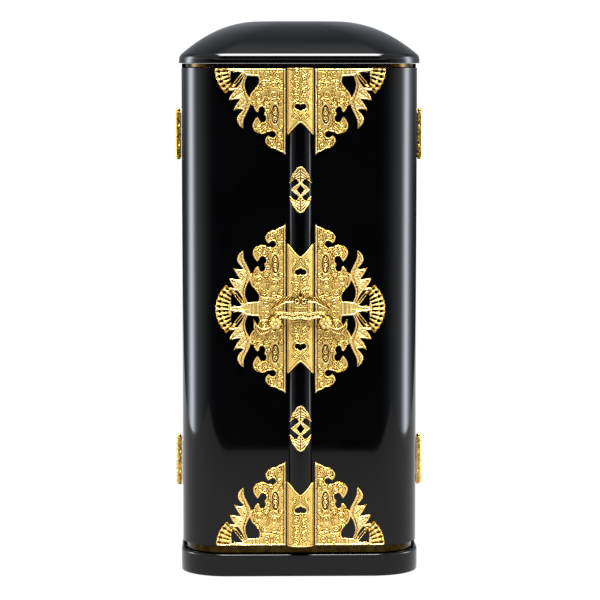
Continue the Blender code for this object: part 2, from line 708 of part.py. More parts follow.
def stand_up(shape, back):
    """Turns a slab that lies in X and Y upright, its back at the given depth before the doors."""
    for vertex in shape.verts:
        x, up, depth = vertex.co
        vertex.co = (x, FRONT - back - depth, MIDDLE_Z + up)


def make_latch():
    reach = POST_X + POST_RADIUS + POST_CLEARANCE + EYE_WALL
    loops = outlines(latch_field, (-reach, reach), (-POST_DROP - 2.0, POST_DROP + 2.0))
    shape = slab(loops, 0, LATCH_THICK)
    stand_up(shape, LATCH_BACK)
    made = finish("latch", shape, GOLD)
    set_origin(made, POST_X, FRONT - LATCH_BACK, POST_Z)


def make_pulls():
    loops = outlines(pull_field, (0, 7), (-4, 2))
    for name, side in (("left_pull", -1), ("right_pull", 1)):
        shape = slab(loops, 0, PULL_THICK)
        stand_up(shape, PLATE_FRONT + FIT)
        for vertex in shape.verts:
            x, y, z = vertex.co
            vertex.co = (side * (POST_X + x), y, z - POST_DROP)
        finish(name, shape, GOLD)


def make_rosettes():
    """A plain post with a flower head whose petals dish towards a small boss."""
    sides = PETALS * 3
    head = LATCH_FRONT + HEAD_CLEARANCE
    rows = [(PLATE_FRONT + FIT, POST_RADIUS, 0.0), (head, POST_RADIUS, 0.0),
            (head, HEAD_RADIUS, 0.16), (head + HEAD_THICK * 0.6, HEAD_RADIUS, 0.16),
            (head + HEAD_THICK, HEAD_RADIUS * 0.85, 0.14), (head + HEAD_THICK * 0.7, 0.62, 0.05),
            (head + HEAD_THICK + HEAD_DOME, 0.4, 0.0)]
    for name, side in (("left_rosette", -1), ("right_rosette", 1)):
        rings = []
        for depth, radius, lobing in rows:
            ring = []
            for k in range(sides):
                angle = 2 * math.pi * k / sides
                reach = radius * (1 - lobing * (1 - abs(math.cos(PETALS * angle / 2))))
                ring.append((side * POST_X + reach * math.cos(angle), FRONT - depth,
                             POST_Z + reach * math.sin(angle)))
            rings.append(ring)
        finish(name, stack(rings), GOLD)


# The hinges

def make_leaf(name, side, towards, barrel_low, own):
    """A leaf with its own knuckles curled round the pin. It lies towards +Y or -Y of the pin."""
    curl = LEAF_MID_RADIUS * math.radians(310)
    plate_end = LEAF_WIDTH - BARREL_RADIUS - FIT
    outline, low = [], 0.0
    for k, share in enumerate(KNUCKLE_SHARES):
        high = low + share * HINGE_HEIGHT
        if k in own:
            first = low if k == 0 else low + FIT / 2
            last = high if k == len(KNUCKLE_SHARES) - 1 else high - FIT / 2
            outline += [(plate_end, first), (LEAF_WIDTH + curl, first),
                        (LEAF_WIDTH + curl, last), (plate_end, last)]
        low = high
    outline = [(0, 0)] + [(plate_end, 0)] * (0 not in own) + outline
    outline += [(plate_end, HINGE_HEIGHT)] * (len(KNUCKLE_SHARES) - 1 not in own)
    outline += [(0, HINGE_HEIGHT)]
    path = [(LEAF_WIDTH, None), (curl, -LEAF_MID_RADIUS)]
    shape = slab([np.array(outline)], -LEAF_THICK / 2, LEAF_THICK / 2)
    cuts = [LEAF_WIDTH + curl * k / CURL_STEPS for k in range(CURL_STEPS)]
    bend(shape, path, 0, cuts)
    for vertex in shape.verts:
        run, out, up = vertex.co.x - LEAF_WIDTH, -vertex.co.y, vertex.co.z
        vertex.co = (side * (HINGE_X - LEAF_MID_RADIUS + out), SPLIT_Y - towards * run,
                     barrel_low + up)
    made = finish(name, shape, GOLD)
    set_origin(made, side * HINGE_X, SPLIT_Y, 0)


def make_pin(name, side, barrel_low):
    """A pin with a button below and a ball above."""
    high = barrel_low + HINGE_HEIGHT
    neck, button = high + PIN_CLEARANCE, barrel_low - PIN_CLEARANCE
    rows = [(button - 0.4, 0.45), (button - 0.25, 0.7), (button, 0.7), (button, PIN_RADIUS),
            (neck, PIN_RADIUS)]
    angles = [math.radians(angle) for angle in (-50, -15, 25, 62)]
    for a in angles:
        lift = math.sin(a) - math.sin(angles[0])
        rows.append((neck + BALL_RADIUS * lift, BALL_RADIUS * math.cos(a)))
    rings = []
    for z, radius in rows:
        rings.append([(side * HINGE_X + radius * math.cos(2 * math.pi * k / ROUND_SIDES),
                       SPLIT_Y + radius * math.sin(2 * math.pi * k / ROUND_SIDES), z)
                      for k in range(ROUND_SIDES)])
    finish(name, stack(rings), GOLD)


def make_hinges():
    for side_name, side in (("left", -1), ("right", 1)):
        for row, height in (("upper", UPPER_HINGE_Z), ("lower", LOWER_HINGE_Z)):
            name = side_name + "_" + row + "_hinge"
            make_leaf(name + "_fixed_leaf", side, 1, height, (0, 2))
            make_leaf(name + "_moving_leaf", side, -1, height, (1, 3))
            make_pin(name + "_pin", side, height)


def main():
    clear_scene()
    make_base()
    make_board("floor_board", FLOOR_Z, FLOOR_THICK)
    make_board("ceiling_board", CEILING_TOP - CEILING_THICK, CEILING_THICK)
    make_carcass()
    make_roof()
    make_door("left_door", -1)
    make_door("right_door", 1)
    make_batten()
    make_caps()
    make_lozenges()
    make_plates()
    make_latch()
    make_rosettes()
    make_pulls()
    make_hinges()


main()
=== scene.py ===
"""The looks of the portable shrine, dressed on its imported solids.

Shapes are drawn in millimetres and turned into metres by MM. The front faces -Y, +X is to the
right, +Z is up, and the origin is the centre of the base's underside.
"""
import functools
import math

import bmesh
import bpy
import numpy as np
from mathutils import Matrix, Vector, geometry


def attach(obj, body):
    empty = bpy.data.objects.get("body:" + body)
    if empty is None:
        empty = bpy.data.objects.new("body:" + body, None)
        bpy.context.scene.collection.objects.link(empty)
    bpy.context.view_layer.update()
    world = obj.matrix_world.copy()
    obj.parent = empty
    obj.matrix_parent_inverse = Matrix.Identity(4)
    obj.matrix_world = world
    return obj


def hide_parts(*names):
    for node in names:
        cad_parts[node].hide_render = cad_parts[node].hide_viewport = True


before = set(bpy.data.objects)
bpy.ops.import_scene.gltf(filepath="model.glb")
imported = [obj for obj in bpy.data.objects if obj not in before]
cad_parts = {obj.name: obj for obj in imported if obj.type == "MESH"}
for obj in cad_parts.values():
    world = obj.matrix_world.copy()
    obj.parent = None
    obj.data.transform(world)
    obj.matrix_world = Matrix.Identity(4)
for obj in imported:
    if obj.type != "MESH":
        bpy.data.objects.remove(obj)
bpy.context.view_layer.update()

MM = 0.001

# Cabinet
HEIGHT = 162.0
WIDTH = 69.0
DEPTH = 60.0
CORNER_RADIUS = 13.3
REAR_RADIUS = 4.0
WALL = 4.0
BACK_WALL = 4.0
DOOR_EASE = 0.25
PANEL_EASE = 0.12
FIT = 0.3
BASE_HEIGHT = 6.6
BASE_PROUD = 0.45
BASE_EASE = 0.6
FLOOR_THICK = 1.8
CEILING_THICK = 0.9
BOARD_INSET = 1.3
ROOF_HEIGHT = 12.2
ROOF_PROUD = 0.7
RIM_FACE = 0.85             # the upright part of the rim, under its rounded edge
ROOF_EASE = 2.35
ROOF_LEAN = 49.0            # degrees that the edge turns through
DOME_REACH = 23.6
DOME_CURVE = 2.1
DOOR_LINE = 18.0

# Batten and sleeves
BATTEN_WIDTH = 7.4
BATTEN_PROUD = 1.9
BATTEN_TURNS = [(0, 0), (0.6, 1), (0.9, 11), (1.2, 19), (1.6, 24), (2, 28), (2.4, 32),
                (2.58, 39), (2.66, 46), (2.96, 48), (3.1, 56), (3.36, 62)]
SLEEVE_GAP = 0.2
SLEEVE_THICK = 0.3
NOTCH = 3.7
TOP_CAP_LENGTH = 19.3
MIDDLE_CAP_LENGTH = 37.9
BOTTOM_CAP_LENGTH = 19.0
HEART_FROM_NOTCH = 4.2
LOZENGE_HALF_HEIGHT = 6.8
LOZENGE_HALF_WIDTH = 3.4
CAP_TOP = 0.41              # where the caps' relief is palest
LOZENGE_TOP = 0.4

# Plates, latch, posts and pulls
PLATE_THICK = 0.5
PLATE_REACH = 20.4
PLATE_HALF_HEIGHT = 24.8
PLATE_LINE_INSET = 0.35
PLATE_MARGIN = 0.2
PLATE_DRAWN = (0.99, 1, 1)  # the openwork's reach within its solid
PLATE_START = 4.22          # from the middle to the openwork's inner edge
PLATE_EDGE = 0.22           # how far its cut edges stand out
PLATE_TOP = 0.62            # where its relief is palest
LATCH_THICK = 0.6
LATCH_TOP = 0.68
POST_X = 7.25
POST_DROP = 4.0
POST_RADIUS = 0.6
POST_CLEARANCE = 0.3
EYE_WALL = 0.7
HEAD_CLEARANCE = 0.7
HEAD_RADIUS = 1.8
HEAD_THICK = 0.5
HEAD_DOME = 0.4
HEAD_STEPS = 22
BOSS_RADIUS = 0.48
PETALS = 6
PETAL_PLACE = 1.08
PETAL_RADIUS = 0.71
PULL_THICK = 0.5

# Hinges
HINGE_HEIGHT = 13.2
UPPER_HINGE_DROP = 13.2
LOWER_HINGE_RISE = 16.1
BARREL_RADIUS = 0.9
LEAF_THICK = 0.35
LEAF_WIDTH = 4.4
PIN_CLEARANCE = 0.15
KNUCKLE_SHARES = (0.18, 0.32, 0.32, 0.18)
KNUCKLE_TURN = 310.0        # degrees that a knuckle is rolled through
KNUCKLE_STEPS = 20
PIN_SIDES = 28
NAIL_SIDES = 14
NAIL_INSET = 1.5
NAIL_PLACES = {1: (0.2, 0.8), -1: (0.28, 0.72)}     # shares of the height, by the leaf's way
BALL_RADIUS = 0.72
NAIL_ROWS = [(-0.1, 0.5), (0.06, 0.5), (0.17, 0.4), (0.24, 0.225)]     # height, radius

# How finely curves are cut
CORNER_STEPS = 40
DOME_STEPS = 36
PLATE_STEP = 0.11
CAP_STEP = 0.11
SMALL_STEP = 0.06

# Derived places
FRONT = -DEPTH / 2
BACK = DEPTH / 2
HALF = WIDTH / 2
FLAT_HALF = HALF - CORNER_RADIUS
SPLIT_Y = FRONT + DOOR_LINE
ROOF_Z = HEIGHT - ROOF_HEIGHT
FLOOR_Z = BASE_HEIGHT + FIT
CEILING_TOP = ROOF_Z - FIT
DOOR_BOTTOM = FLOOR_Z + FLOOR_THICK + FIT
DOOR_TOP = CEILING_TOP - CEILING_THICK - FIT
MIDDLE_Z = (DOOR_BOTTOM + DOOR_TOP) / 2
BATTEN_FRONT = FIT + BATTEN_PROUD
PLATE_FRONT = FIT + PLATE_THICK
LATCH_BACK = BATTEN_FRONT + SLEEVE_GAP + SLEEVE_THICK + FIT
LATCH_FRONT = LATCH_BACK + LATCH_THICK
POST_Z = MIDDLE_Z - POST_DROP
HINGE_X = HALF + FIT + BARREL_RADIUS
BARREL_MID = BARREL_RADIUS - LEAF_THICK / 2 - 0.03
PIN_RADIUS = BARREL_RADIUS - LEAF_THICK - PIN_CLEARANCE
UPPER_HINGE_Z = DOOR_TOP - UPPER_HINGE_DROP - HINGE_HEIGHT
LOWER_HINGE_Z = DOOR_BOTTOM + LOWER_HINGE_RISE

HANDS = (("left", -1), ("right", 1))

# Camera, from the photo's frame of 600 pixels
PIXELS = 600
PIXELS_PER_MM = 3.446
CAMERA_DISTANCE = 785.0
CAMERA_AZIMUTH = -1.3
CAMERA_ELEVATION = 5.1
SENSOR = 36.0


# Materials

def nodes_of(name):
    made = bpy.data.materials.new(name)
    made.use_nodes = True
    return made, made.node_tree, made.node_tree.nodes["Principled BSDF"]


def add(tree, kind, **values):
    """A node with some of its properties and inputs set."""
    node = tree.nodes.new(kind)
    for key, value in values.items():
        if key in node.inputs:
            node.inputs[key].default_value = value
        else:
            setattr(node, key, value)
    return node


def noise(tree, scale, detail=4.0):
    place = add(tree, "ShaderNodeTexCoord")
    made = add(tree, "ShaderNodeTexNoise", Scale=scale, Detail=detail, Roughness=0.5)
    tree.links.new(place.outputs["Object"], made.inputs["Vector"])
    return made.outputs["Fac"]


def axes_of(tree, kind):
    """The X, Y and Z of the object's or the world's own coordinates."""
    place = add(tree, "ShaderNodeTexCoord")
    split = add(tree, "ShaderNodeSeparateXYZ")
    tree.links.new(place.outputs[kind], split.inputs["Vector"])
    return [split.outputs[k] for k in "XYZ"]


def maths(operation, *values):
    """A calculation with nodes' outputs and numbers, at least one of them an output."""
    tree = next(value.id_data for value in values if hasattr(value, "id_data"))
    node = add(tree, "ShaderNodeMath", operation=operation)
    for socket, value in zip(node.inputs, values):
        if hasattr(value, "id_data"):
            tree.links.new(value, socket)
        else:
            socket.default_value = value
    return node.outputs["Value"]


def plus(*values):
    return functools.reduce(lambda a, b: maths("ADD", a, b), values)


def times(*values):
    return functools.reduce(lambda a, b: maths("MULTIPLY", a, b), values)


def soft_step(source, low, high):
    """0 before low, 1 past high and smooth between, whichever of them is greater."""
    node = add(source.id_data, "ShaderNodeMapRange", interpolation_type="SMOOTHSTEP",
               **{"From Min": low, "From Max": high})
    source.id_data.links.new(source, node.inputs["Value"])
    return node.outputs["Result"]


def band(source, low, high, ease):
    """1 between two values, easing to 0 outside them."""
    return times(soft_step(source, low - ease, low), soft_step(source, high + ease, high))


def ramp(source, stops):
    tree = source.id_data
    made = add(tree, "ShaderNodeValToRGB")
    elements = made.color_ramp.elements
    while len(elements) < len(stops):
        elements.new(0.5)
    for element, (place, colour) in zip(elements, stops):
        element.position = place
        element.color = (*colour, 1)
    tree.links.new(source, made.inputs["Fac"])
    return made.outputs["Color"]


def tones(scale, low, high, places=(0.3, 0.7)):
    """A colour that drifts between two tones."""
    return lambda tree: ramp(noise(tree, scale), list(zip(places, (low, high))))


def surface(name, colour_of, metallic, grain, rough, bumps=None):
    """A material: its colour from a function, its roughness and its bumps from noises."""
    made, tree, shader = nodes_of(name)
    tree.links.new(colour_of(tree), shader.inputs["Base Color"])
    shader.inputs["Metallic"].default_value = metallic
    varied = add(tree, "ShaderNodeMapRange", **{"To Min": rough[0], "To Max": rough[1]})
    tree.links.new(noise(tree, grain), varied.inputs["Value"])
    tree.links.new(varied.outputs["Result"], shader.inputs["Roughness"])
    if bumps:
        scale, detail, distance = bumps
        uneven = add(tree, "ShaderNodeBump", Strength=1.0, Distance=distance)
        tree.links.new(noise(tree, scale, detail), uneven.inputs["Height"])
        tree.links.new(uneven.outputs["Normal"], shader.inputs["Normal"])
    return made


# The gilt's colours by how proud it stands: the deep stops are painted shade in the engraving and
# along cut edges, the palest a painted highlight on the ridges
GILT_TONES = [(0.14, (0.055, 0.022, 0.001)), (0.36, (0.42, 0.22, 0.025)),
              (0.55, (0.76, 0.51, 0.115)), (0.70, (0.90, 0.69, 0.25)), (0.92, (0.98, 0.84, 0.46))]


def gilt_colour(tree):
    """Pale on the highest ridges as a painted highlight, deep orange to near black in what is engraved
    and on low cut edges as painted shade.
    """
    proud = add(tree, "ShaderNodeAttribute", attribute_name="relief")
    mix = add(tree, "ShaderNodeMix", data_type="RGBA", blend_type="MULTIPLY")
    mix.inputs["Factor"].default_value = 1.0
    tree.links.new(ramp(proud.outputs["Fac"], GILT_TONES), mix.inputs["A"])
    tree.links.new(tones(420, (0.90, 0.86, 0.78), (1, 1, 1))(tree), mix.inputs["B"])
    return mix.outputs["Result"]


def leaf_colour(tree):
    """Squares of gold leaf laid with a slight overlap."""
    squares = add(tree, "ShaderNodeTexBrick", Scale=30.0, offset=0.0, Color1=(0.86, 0.62, 0.22, 1),
                  Color2=(0.92, 0.68, 0.27, 1), Mortar=(1, 0.80, 0.38, 1),
                  **{"Mortar Size": 0.012, "Brick Width": 0.6, "Row Height": 0.6})
    turned = add(tree, "ShaderNodeCombineXYZ")
    x, y, z = axes_of(tree, "Object")
    tree.links.new(plus(x, y), turned.inputs["X"])
    tree.links.new(z, turned.inputs["Y"])
    tree.links.new(turned.outputs["Vector"], squares.inputs["Vector"])
    return squares.outputs["Color"]


# Each has its grain, its range of roughness, and its bumps' grain, detail and depth
LACQUER = surface("black_lacquer", tones(60, (0.0006, 0.0006, 0.0008), (0.0014, 0.0014, 0.0017)),
                  0, 240, (0.03, 0.06), (34, 1, 0.00005))
LACQUER.node_tree.nodes["Principled BSDF"].inputs["IOR"].default_value = 1.345
GILT = surface("gilt_metal", gilt_colour, 1, 900, (0.40, 0.54), (2600, 2, 0.00003))
BRASS = surface("polished_brass", tones(700, (0.62, 0.38, 0.06), (0.92, 0.66, 0.20)),
                1, 900, (0.14, 0.26), (900, 2, 0.0001))
LEAF = surface("gold_leaf", leaf_colour, 1, 300, (0.10, 0.17), (500, 4, 0.00003))
# The boards' front edges: gold leaf darkened almost to black as painted shade of the deep recess
# behind the doors; the side lights still glint on it
PAINTED_SHADE_EDGE = surface("painted_shade_leaf_edge", tones(500, (0.020, 0.011, 0.002), (0.055, 0.033, 0.008), (0.35, 0.70)),
               1, 300, (0.08, 0.16))
LOOKS = {"lacquer": (LACQUER, "lacquer"), "gilt": (GILT, "gilt_metal"),
         "brass": (BRASS, "gilt_metal"), "leaf": (LEAF, "gold_leaf")}


# Pieces

def linked(name, data):
    thing = bpy.data.objects.new(name, data)
    bpy.context.scene.collection.objects.link(thing)
    return thing


def piece(node, look, made, body, sharp, second=None):
    """Finishes a mesh in millimetres as the piece that stands for a solid and rides on its body."""
    material, slot = LOOKS[look]
    made.transform(Matrix.Scale(MM, 4))
    made.name = node + "_" + look
    made.shade_smooth()
    made.set_sharp_from_angle(angle=math.radians(sharp))
    made.materials.append(material)
    if second:
        made.materials.append(second)
    thing = linked(made.name, made)
    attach(thing, body)
    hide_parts(node)


def mesh_of(shape):
    """A mesh from a bmesh in millimetres, its faces pointing out."""
    if shape.calc_volume(signed=True) < 0:
        bmesh.ops.reverse_faces(shape, faces=shape.faces)
    made = bpy.data.meshes.new("shape")
    shape.to_mesh(made)
    shape.free()
    return made


# Outlines and simple solids

def arc(centre_x, centre_y, radius, start, end, steps):
    angles = np.radians(np.linspace(start, end, steps + 1))
    return [(centre_x + radius * math.cos(a), centre_y + radius * math.sin(a)) for a in angles]


def corners_of(*corners):
    """Points round corners, each given by its place, its radius and the turn where it starts."""
    points = []
    for x, y, radius, turn in corners:
        back = radius * math.sqrt(2)
        middle = math.radians(turn + 45)
        steps = CORNER_STEPS if turn >= 180 else CORNER_STEPS // 2
        points += arc(x - back * math.cos(middle), y - back * math.sin(middle), radius, turn,
                      turn + 90, steps)
    return points


def plan_outline(grow, rounding=1):
    """The cabinet's outline from above, grown outwards, anticlockwise from the front's left end."""
    half, front, back = HALF + grow, FRONT - grow, BACK + grow
    room = min(half, (back - front) / 2) - 0.4
    near = min(CORNER_RADIUS + max(grow, 0), room)
    far = min(max(REAR_RADIUS * rounding, REAR_RADIUS + grow), room)
    return corners_of((-half, front, near, 180), (half, front, near, 270), (half, back, far, 0),
                      (-half, back, far, 90))


def along(path, s):
    """Places and outward normals at lengths s along a section that starts at the front's middle."""
    rest = np.array(s, float)
    x, y, turn = np.zeros_like(rest), np.zeros_like(rest), np.zeros_like(rest)
    for index, (length, radius) in enumerate(path):
        step = rest if index == len(path) - 1 else np.clip(rest, None, length)
        if radius is None:
            x += step * np.cos(turn)
            y += step * np.sin(turn)
        else:
            angle = step / radius
            x += radius * (np.sin(turn + angle) - np.sin(turn))
            y += radius * (np.cos(turn) - np.cos(turn + angle))
            turn = turn + angle
        rest = rest - step
    return x, y, np.sin(turn), -np.cos(turn)


def batten_section():
    """The batten's half section from its crest: lengths, X, fall and turn of its normal."""
    x = np.linspace(0, BATTEN_TURNS[-1][0], 70)
    turn = np.radians(np.interp(x, *zip(*BATTEN_TURNS)))
    rise = np.tan(turn)
    fall = np.concatenate([[0], np.cumsum((rise[1:] + rise[:-1]) / 2 * np.diff(x))])
    x, turn = np.append(x, [x[-1] + 0.06, x[-1] + 0.06]), np.append(turn, [math.pi / 2] * 2)
    fall = np.append(fall, [fall[-1] + 0.15, BATTEN_PROUD])
    lengths = np.concatenate([[0], np.cumsum(np.hypot(np.diff(x), np.diff(fall)))])
    return lengths, x, fall, turn


def along_batten(s):
    lengths, x, fall, turn = batten_section()
    angle = np.interp(s, lengths, turn)
    return np.interp(s, lengths, x), np.interp(s, lengths, fall), np.sin(angle), -np.cos(angle)


def along_door(s):
    return along([(FLAT_HALF, None), (CORNER_RADIUS * math.pi / 2, CORNER_RADIUS), (WALL, None)], s)


def level(outline, z):
    return [(x, y, z) for x, y in outline]


def stack(rings, shape=None):
    """A solid through rings of equal count, each a list of points, closed by flat ends."""
    shape = shape or bmesh.new()
    rows = [[shape.verts.new(point) for point in ring] for ring in rings]
    for low, high in zip(rows, rows[1:]):
        for a, b, c, d in zip(low, low[1:] + low[:1], high[1:] + high[:1], high):
            shape.faces.new((a, b, c, d))
    shape.faces.new(list(reversed(rows[0])))
    shape.faces.new(rows[-1])
    return shape


def prism(outline, low, high):
    return stack([level(outline, low), level(outline, high)])


def round_rings(rows, sides, x=0.0, y=0.0):
    """Rings round an upright axis, from rows of height and radius."""
    turns = 2 * math.pi * np.arange(sides) / sides
    return [[(x + radius * math.cos(a), y + radius * math.sin(a), z) for a in turns]
            for z, radius in rows]


def eased(shape, width, angle=40.0):
    """Rounds a solid's sharp edges."""
    edges = [edge for edge in shape.edges if edge.calc_face_angle(0) > math.radians(angle)]
    bmesh.ops.bevel(shape, geom=edges, offset=width, segments=3, profile=0.5, affect="EDGES")
    return shape


# Fields: negative inside a shape, in millimetres

def disc(u, v, centre_u, centre_v, radius):
    return np.hypot(u - centre_u, v - centre_v) - radius


def beside(u, v, start, end):
    """Shares of the way along a line, and distances from it."""
    du, dv = end[0] - start[0], end[1] - start[1]
    t = np.clip(((u - start[0]) * du + (v - start[1]) * dv) / (du * du + dv * dv), 0, 1)
    return t, np.hypot(u - start[0] - t * du, v - start[1] - t * dv)


def stroke(u, v, points, radii):
    """A rounded line through the points that swells and narrows with the radii."""
    nearest = np.full(np.shape(u), 1e9)
    for start, end, r_start, r_end in zip(points, points[1:], radii, radii[1:]):
        t, gap = beside(u, v, start, end)
        nearest = np.minimum(nearest, gap - (r_start + t * (r_end - r_start)))
    return nearest


def polygon(u, v, points):
    nearest = np.full(np.shape(u), 1e9)
    inside = np.zeros(np.shape(u), bool)
    for start, end in zip(points, points[1:] + points[:1]):
        nearest = np.minimum(nearest, beside(u, v, start, end)[1])
        if end[1] != start[1]:
            slope = (end[0] - start[0]) / (end[1] - start[1])
            inside ^= ((start[1] > v) != (end[1] > v)) & (u < start[0] + slope * (v - start[1]))
    return np.where(inside, -nearest, nearest)


def union(*fields):
    return np.minimum.reduce(fields)


def without(field, cut):
    return np.maximum(field, -cut)


def wave(run, pitch):
    return np.cos(run * 2 * math.pi / pitch)


def heart(u, v, up):
    """A broad heart with its point up or down."""
    u, v = np.abs(u), -v if up else v
    lobes = disc(u, v, 0.72, 0.27, 0.78)
    point = polygon(u, v, [(-0.2, 0.55), (0, 0.55), (1.43, 0), (0, -1), (-0.2, -1)])
    return union(lobes, point)


def plate_spray(u, v):
    """The three pointed leaves that rise beside the crest, and the link to the fan."""
    link = stroke(u, v, [(14.6, 5.7), (16.3, 5.9)], [0.4, 0.34])
    return union(polygon(u, v, SPRAY), link)


FAN_CENTRE = 11.1
FAN_SCALLOP = 10.0          # degrees from one scallop of the fan's rim to the next
FAN_HALF_ANGLE = 48.0


def fan_polar(u, v):
    return np.degrees(np.arctan2(v, u - FAN_CENTRE)), np.hypot(u - FAN_CENTRE, v)


def plate_fan(u, v):
    """The scalloped fan at the plate's outer end, with the stalk and spears that carry it."""
    angle, reach = fan_polar(u, v)
    radius = PLATE_REACH - FAN_CENTRE
    rim = reach - radius - 0.1 + 0.17 * wave(angle, FAN_SCALLOP)
    inner = 4.95 + 1.6 * np.clip((np.abs(angle) - 14) / 32, 0, 1) - reach
    fan = np.maximum(np.maximum(rim, inner), (np.abs(angle) - FAN_HALF_ANGLE) * 0.12)
    stalk = stroke(u, v, [(10.8, 0), (12.2, 0), (14, 0), (15.6, 0), (16.3, 0)],
                   [1.8, 1.15, 0.75, 0.65, 0.1])
    collar = stroke(u, v, [(7.5, 0), (10.8, 0)], [2.15, 1.95])
    stalk = union(stalk, stroke(u, v, [(13.9, 0.2), (15.3, 0.95)], [0.5, 0.12]))
    spear = without(stroke(u, v, [(12.6, 1.5), (15.3, 4.8)], [0.5, 0.52]),
                    stroke(u, v, [(12.9, 1.85), (14.8, 4.2)], [0.16, 0.2]))
    return union(fan, stalk, collar, spear)


def fan_holes(u, v):
    """A row of round holes behind the fan's scallops, and a row of slits behind those."""
    angle, reach = fan_polar(u, v)
    across = np.radians((angle % FAN_SCALLOP) - FAN_SCALLOP / 2) * reach
    outer = np.hypot(across, reach - (PLATE_REACH - FAN_CENTRE - 0.92)) - 0.44
    slot = np.clip(reach, 5.95, 7.15)
    slits = np.hypot(across, reach - slot) - 0.28
    spread = (np.abs(angle) - FAN_HALF_ANGLE + 3) * 0.12
    return np.maximum(union(outer, slits), spread)


def plate_field(u, v):
    """The whole plate: u from the batten outwards, v from the middle line up or down."""
    v = np.abs(v)
    return np.maximum(union(polygon(u, v, CREST), plate_spray(u, v), plate_fan(u, v)), -u)


def latch_bow(u, v):
    """The latch's finial, ribbon arms and binding."""
    side = np.abs(u)
    finial = union(stroke(side, v, [(0, 2.4), (0, 4.6), (0, 6.2)], [0.9, 0.95, 0.1]),
                   stroke(side, v, [(0.5, 3), (2, 4.6), (2.3, 5.2)], [0.7, 0.75, 0.2]),
                   stroke(side, v, [(0.6, 2.8), (2.4, 3.9), (3.5, 4.3)], [0.7, 0.6, 0.15]))
    upper = stroke(side, v, UPPER_RIBBON, UPPER_RADII)
    binder = polygon(side, v, [(-1, -1.6), (2.4, -1.6), (2.4, 2.2), (-1, 2.2)])
    lower = stroke(side, v, LOWER_RIBBON, LOWER_RADII)
    return union(finial, upper, binder, lower)


UPPER_RIBBON = [(0.95, 1.95), (2.2, 2.9), (4.5, 2.8), (6.35, 1.7), (8.5, 0.5)]
UPPER_RADII = [0.65, 0.85, 0.95, 0.8, 0.4]
LOWER_RIBBON = [(0, -1.6), (2.3, -2), (4.6, -1.5), (6.2, -1.6), (6.9, -2.6)]
LOWER_RADII = [1.05, 1, 0.95, 0.9, 0.75]


def latch_field(u, v):
    """The bow-shaped latch with an eye round one post and an open seat on the other."""
    bore = POST_RADIUS + POST_CLEARANCE
    eye = disc(u, v, POST_X, -POST_DROP, bore + EYE_WALL)
    seat = disc(u, v, -POST_X, -POST_DROP, bore + EYE_WALL)
    seat = np.maximum(seat, np.maximum(FIT - POST_X - u, -POST_DROP - v))
    bores = union(disc(u, v, POST_X, -POST_DROP, bore), disc(u, v, -POST_X, -POST_DROP, bore))
    return without(union(latch_bow(u, v), eye, seat), bores)


PULL_LINE = [(6.25, 0.9), (5.65, -1.3), (3.95, -2.6), (2.35, -2.2), (1.45, -1.2)]


def pull_field(u, v):
    """A crescent leaf with its horns up, u and v from the post that it stands beside."""
    return stroke(u, v, PULL_LINE, [0.12, 0.7, 0.95, 0.75, 0.25])


def lozenge_field(u, v):
    """A pierced lozenge between two leaves."""
    u, v = np.abs(u), np.abs(v)
    leaf = polygon(u, v, [(-1, 6.8), (0, 6.8), (0.9, 6.35), (1.55, 5.35), (2.3, 4.5), (2.75, 3.3),
                          (3.4, 1.9), (2.9, 1.85), (2.2, 2.6), (1.5, 3.15), (0.9, 2.75),
                          (0.4, 1.9), (-1, 1.9)])
    ring = (u / 2.9 + v / 2.35 - 1) * 1.84
    hole = (u / 1.05 + v / 1.4 - 1) * 0.84
    return without(union(leaf, ring), hole)


def ogee(t):
    """The rise of a sleeve's end from the notch's point, t = 0, to its side, t = 1."""
    t = np.clip(t, 0, 1)
    return 0.6 * t + 0.4 * t * t * (3 - 2 * t)


def sleeve_field(s, z, low, high, notch_low, notch_high, reach):
    """A sleeve laid flat: s along its section, z up."""
    bite = NOTCH * (1 - ogee(np.abs(s) / (BATTEN_WIDTH / 2)))
    top = high - (bite if notch_high else 0)
    bottom = low + (bite if notch_low else 0)
    shape = np.maximum(np.maximum(z - top, bottom - z), np.abs(s) - reach)
    if notch_low:
        shape = without(shape, heart(s, z - low - NOTCH - HEART_FROM_NOTCH, False))
    if notch_high:
        shape = without(shape, heart(s, z - high + NOTCH + HEART_FROM_NOTCH, True))
    return shape


# Relief sheets

def grid_of(u_range, v_range, step):
    """Places of a regular grid over a flat motif."""
    us = np.arange(u_range[0] - 1.37 * step, u_range[1] + 2 * step, step)
    vs = np.arange(v_range[0] - 1.43 * step, v_range[1] + 2 * step, step)
    return np.meshgrid(us, vs, indexing="ij")


def depth_of(field, step):
    """About the distance in from a field's edge."""
    slope = np.hypot(*np.gradient(field, step))
    return -field / np.clip(slope, 0.35, 3)


def line_gap(u, v, lines, reach=0.6):
    """The distance to the nearest of some lines, up to a reach."""
    step = u[1, 0] - u[0, 0]
    nearest = np.full(u.shape, reach)
    for line in lines:
        for start, end in zip(line, line[1:]):
            patch = tuple(slice(max(int((min(a, b) - reach - low) / step), 0),
                                max(int((max(a, b) + reach - low) / step) + 2, 0))
                          for a, b, low in zip(start, end, (u[0, 0], v[0, 0])))
            if nearest[patch].size:
                gap = stroke(u[patch], v[patch], [start, end], [0, 0])
                nearest[patch] = np.minimum(nearest[patch], gap)
    return nearest


def mirrored(lines, u_side, v_side):
    """The lines and their mirror images."""
    return lines + [[(u * u_side, v * v_side) for u, v in line] for line in lines]


def hump(gap, half):
    """A smooth ridge: 1 on its line and 0 at half its width."""
    t = np.clip(np.abs(gap) / half, 0, 1)
    return (1 - t * t) ** 2


def pits_in(u, v, pits, half):
    """1 in the middle of each punched pit, 0 outside its radius."""
    return sum(hump(np.hypot(u - pit_u, v - pit_v), half) for pit_u, pit_v in pits)


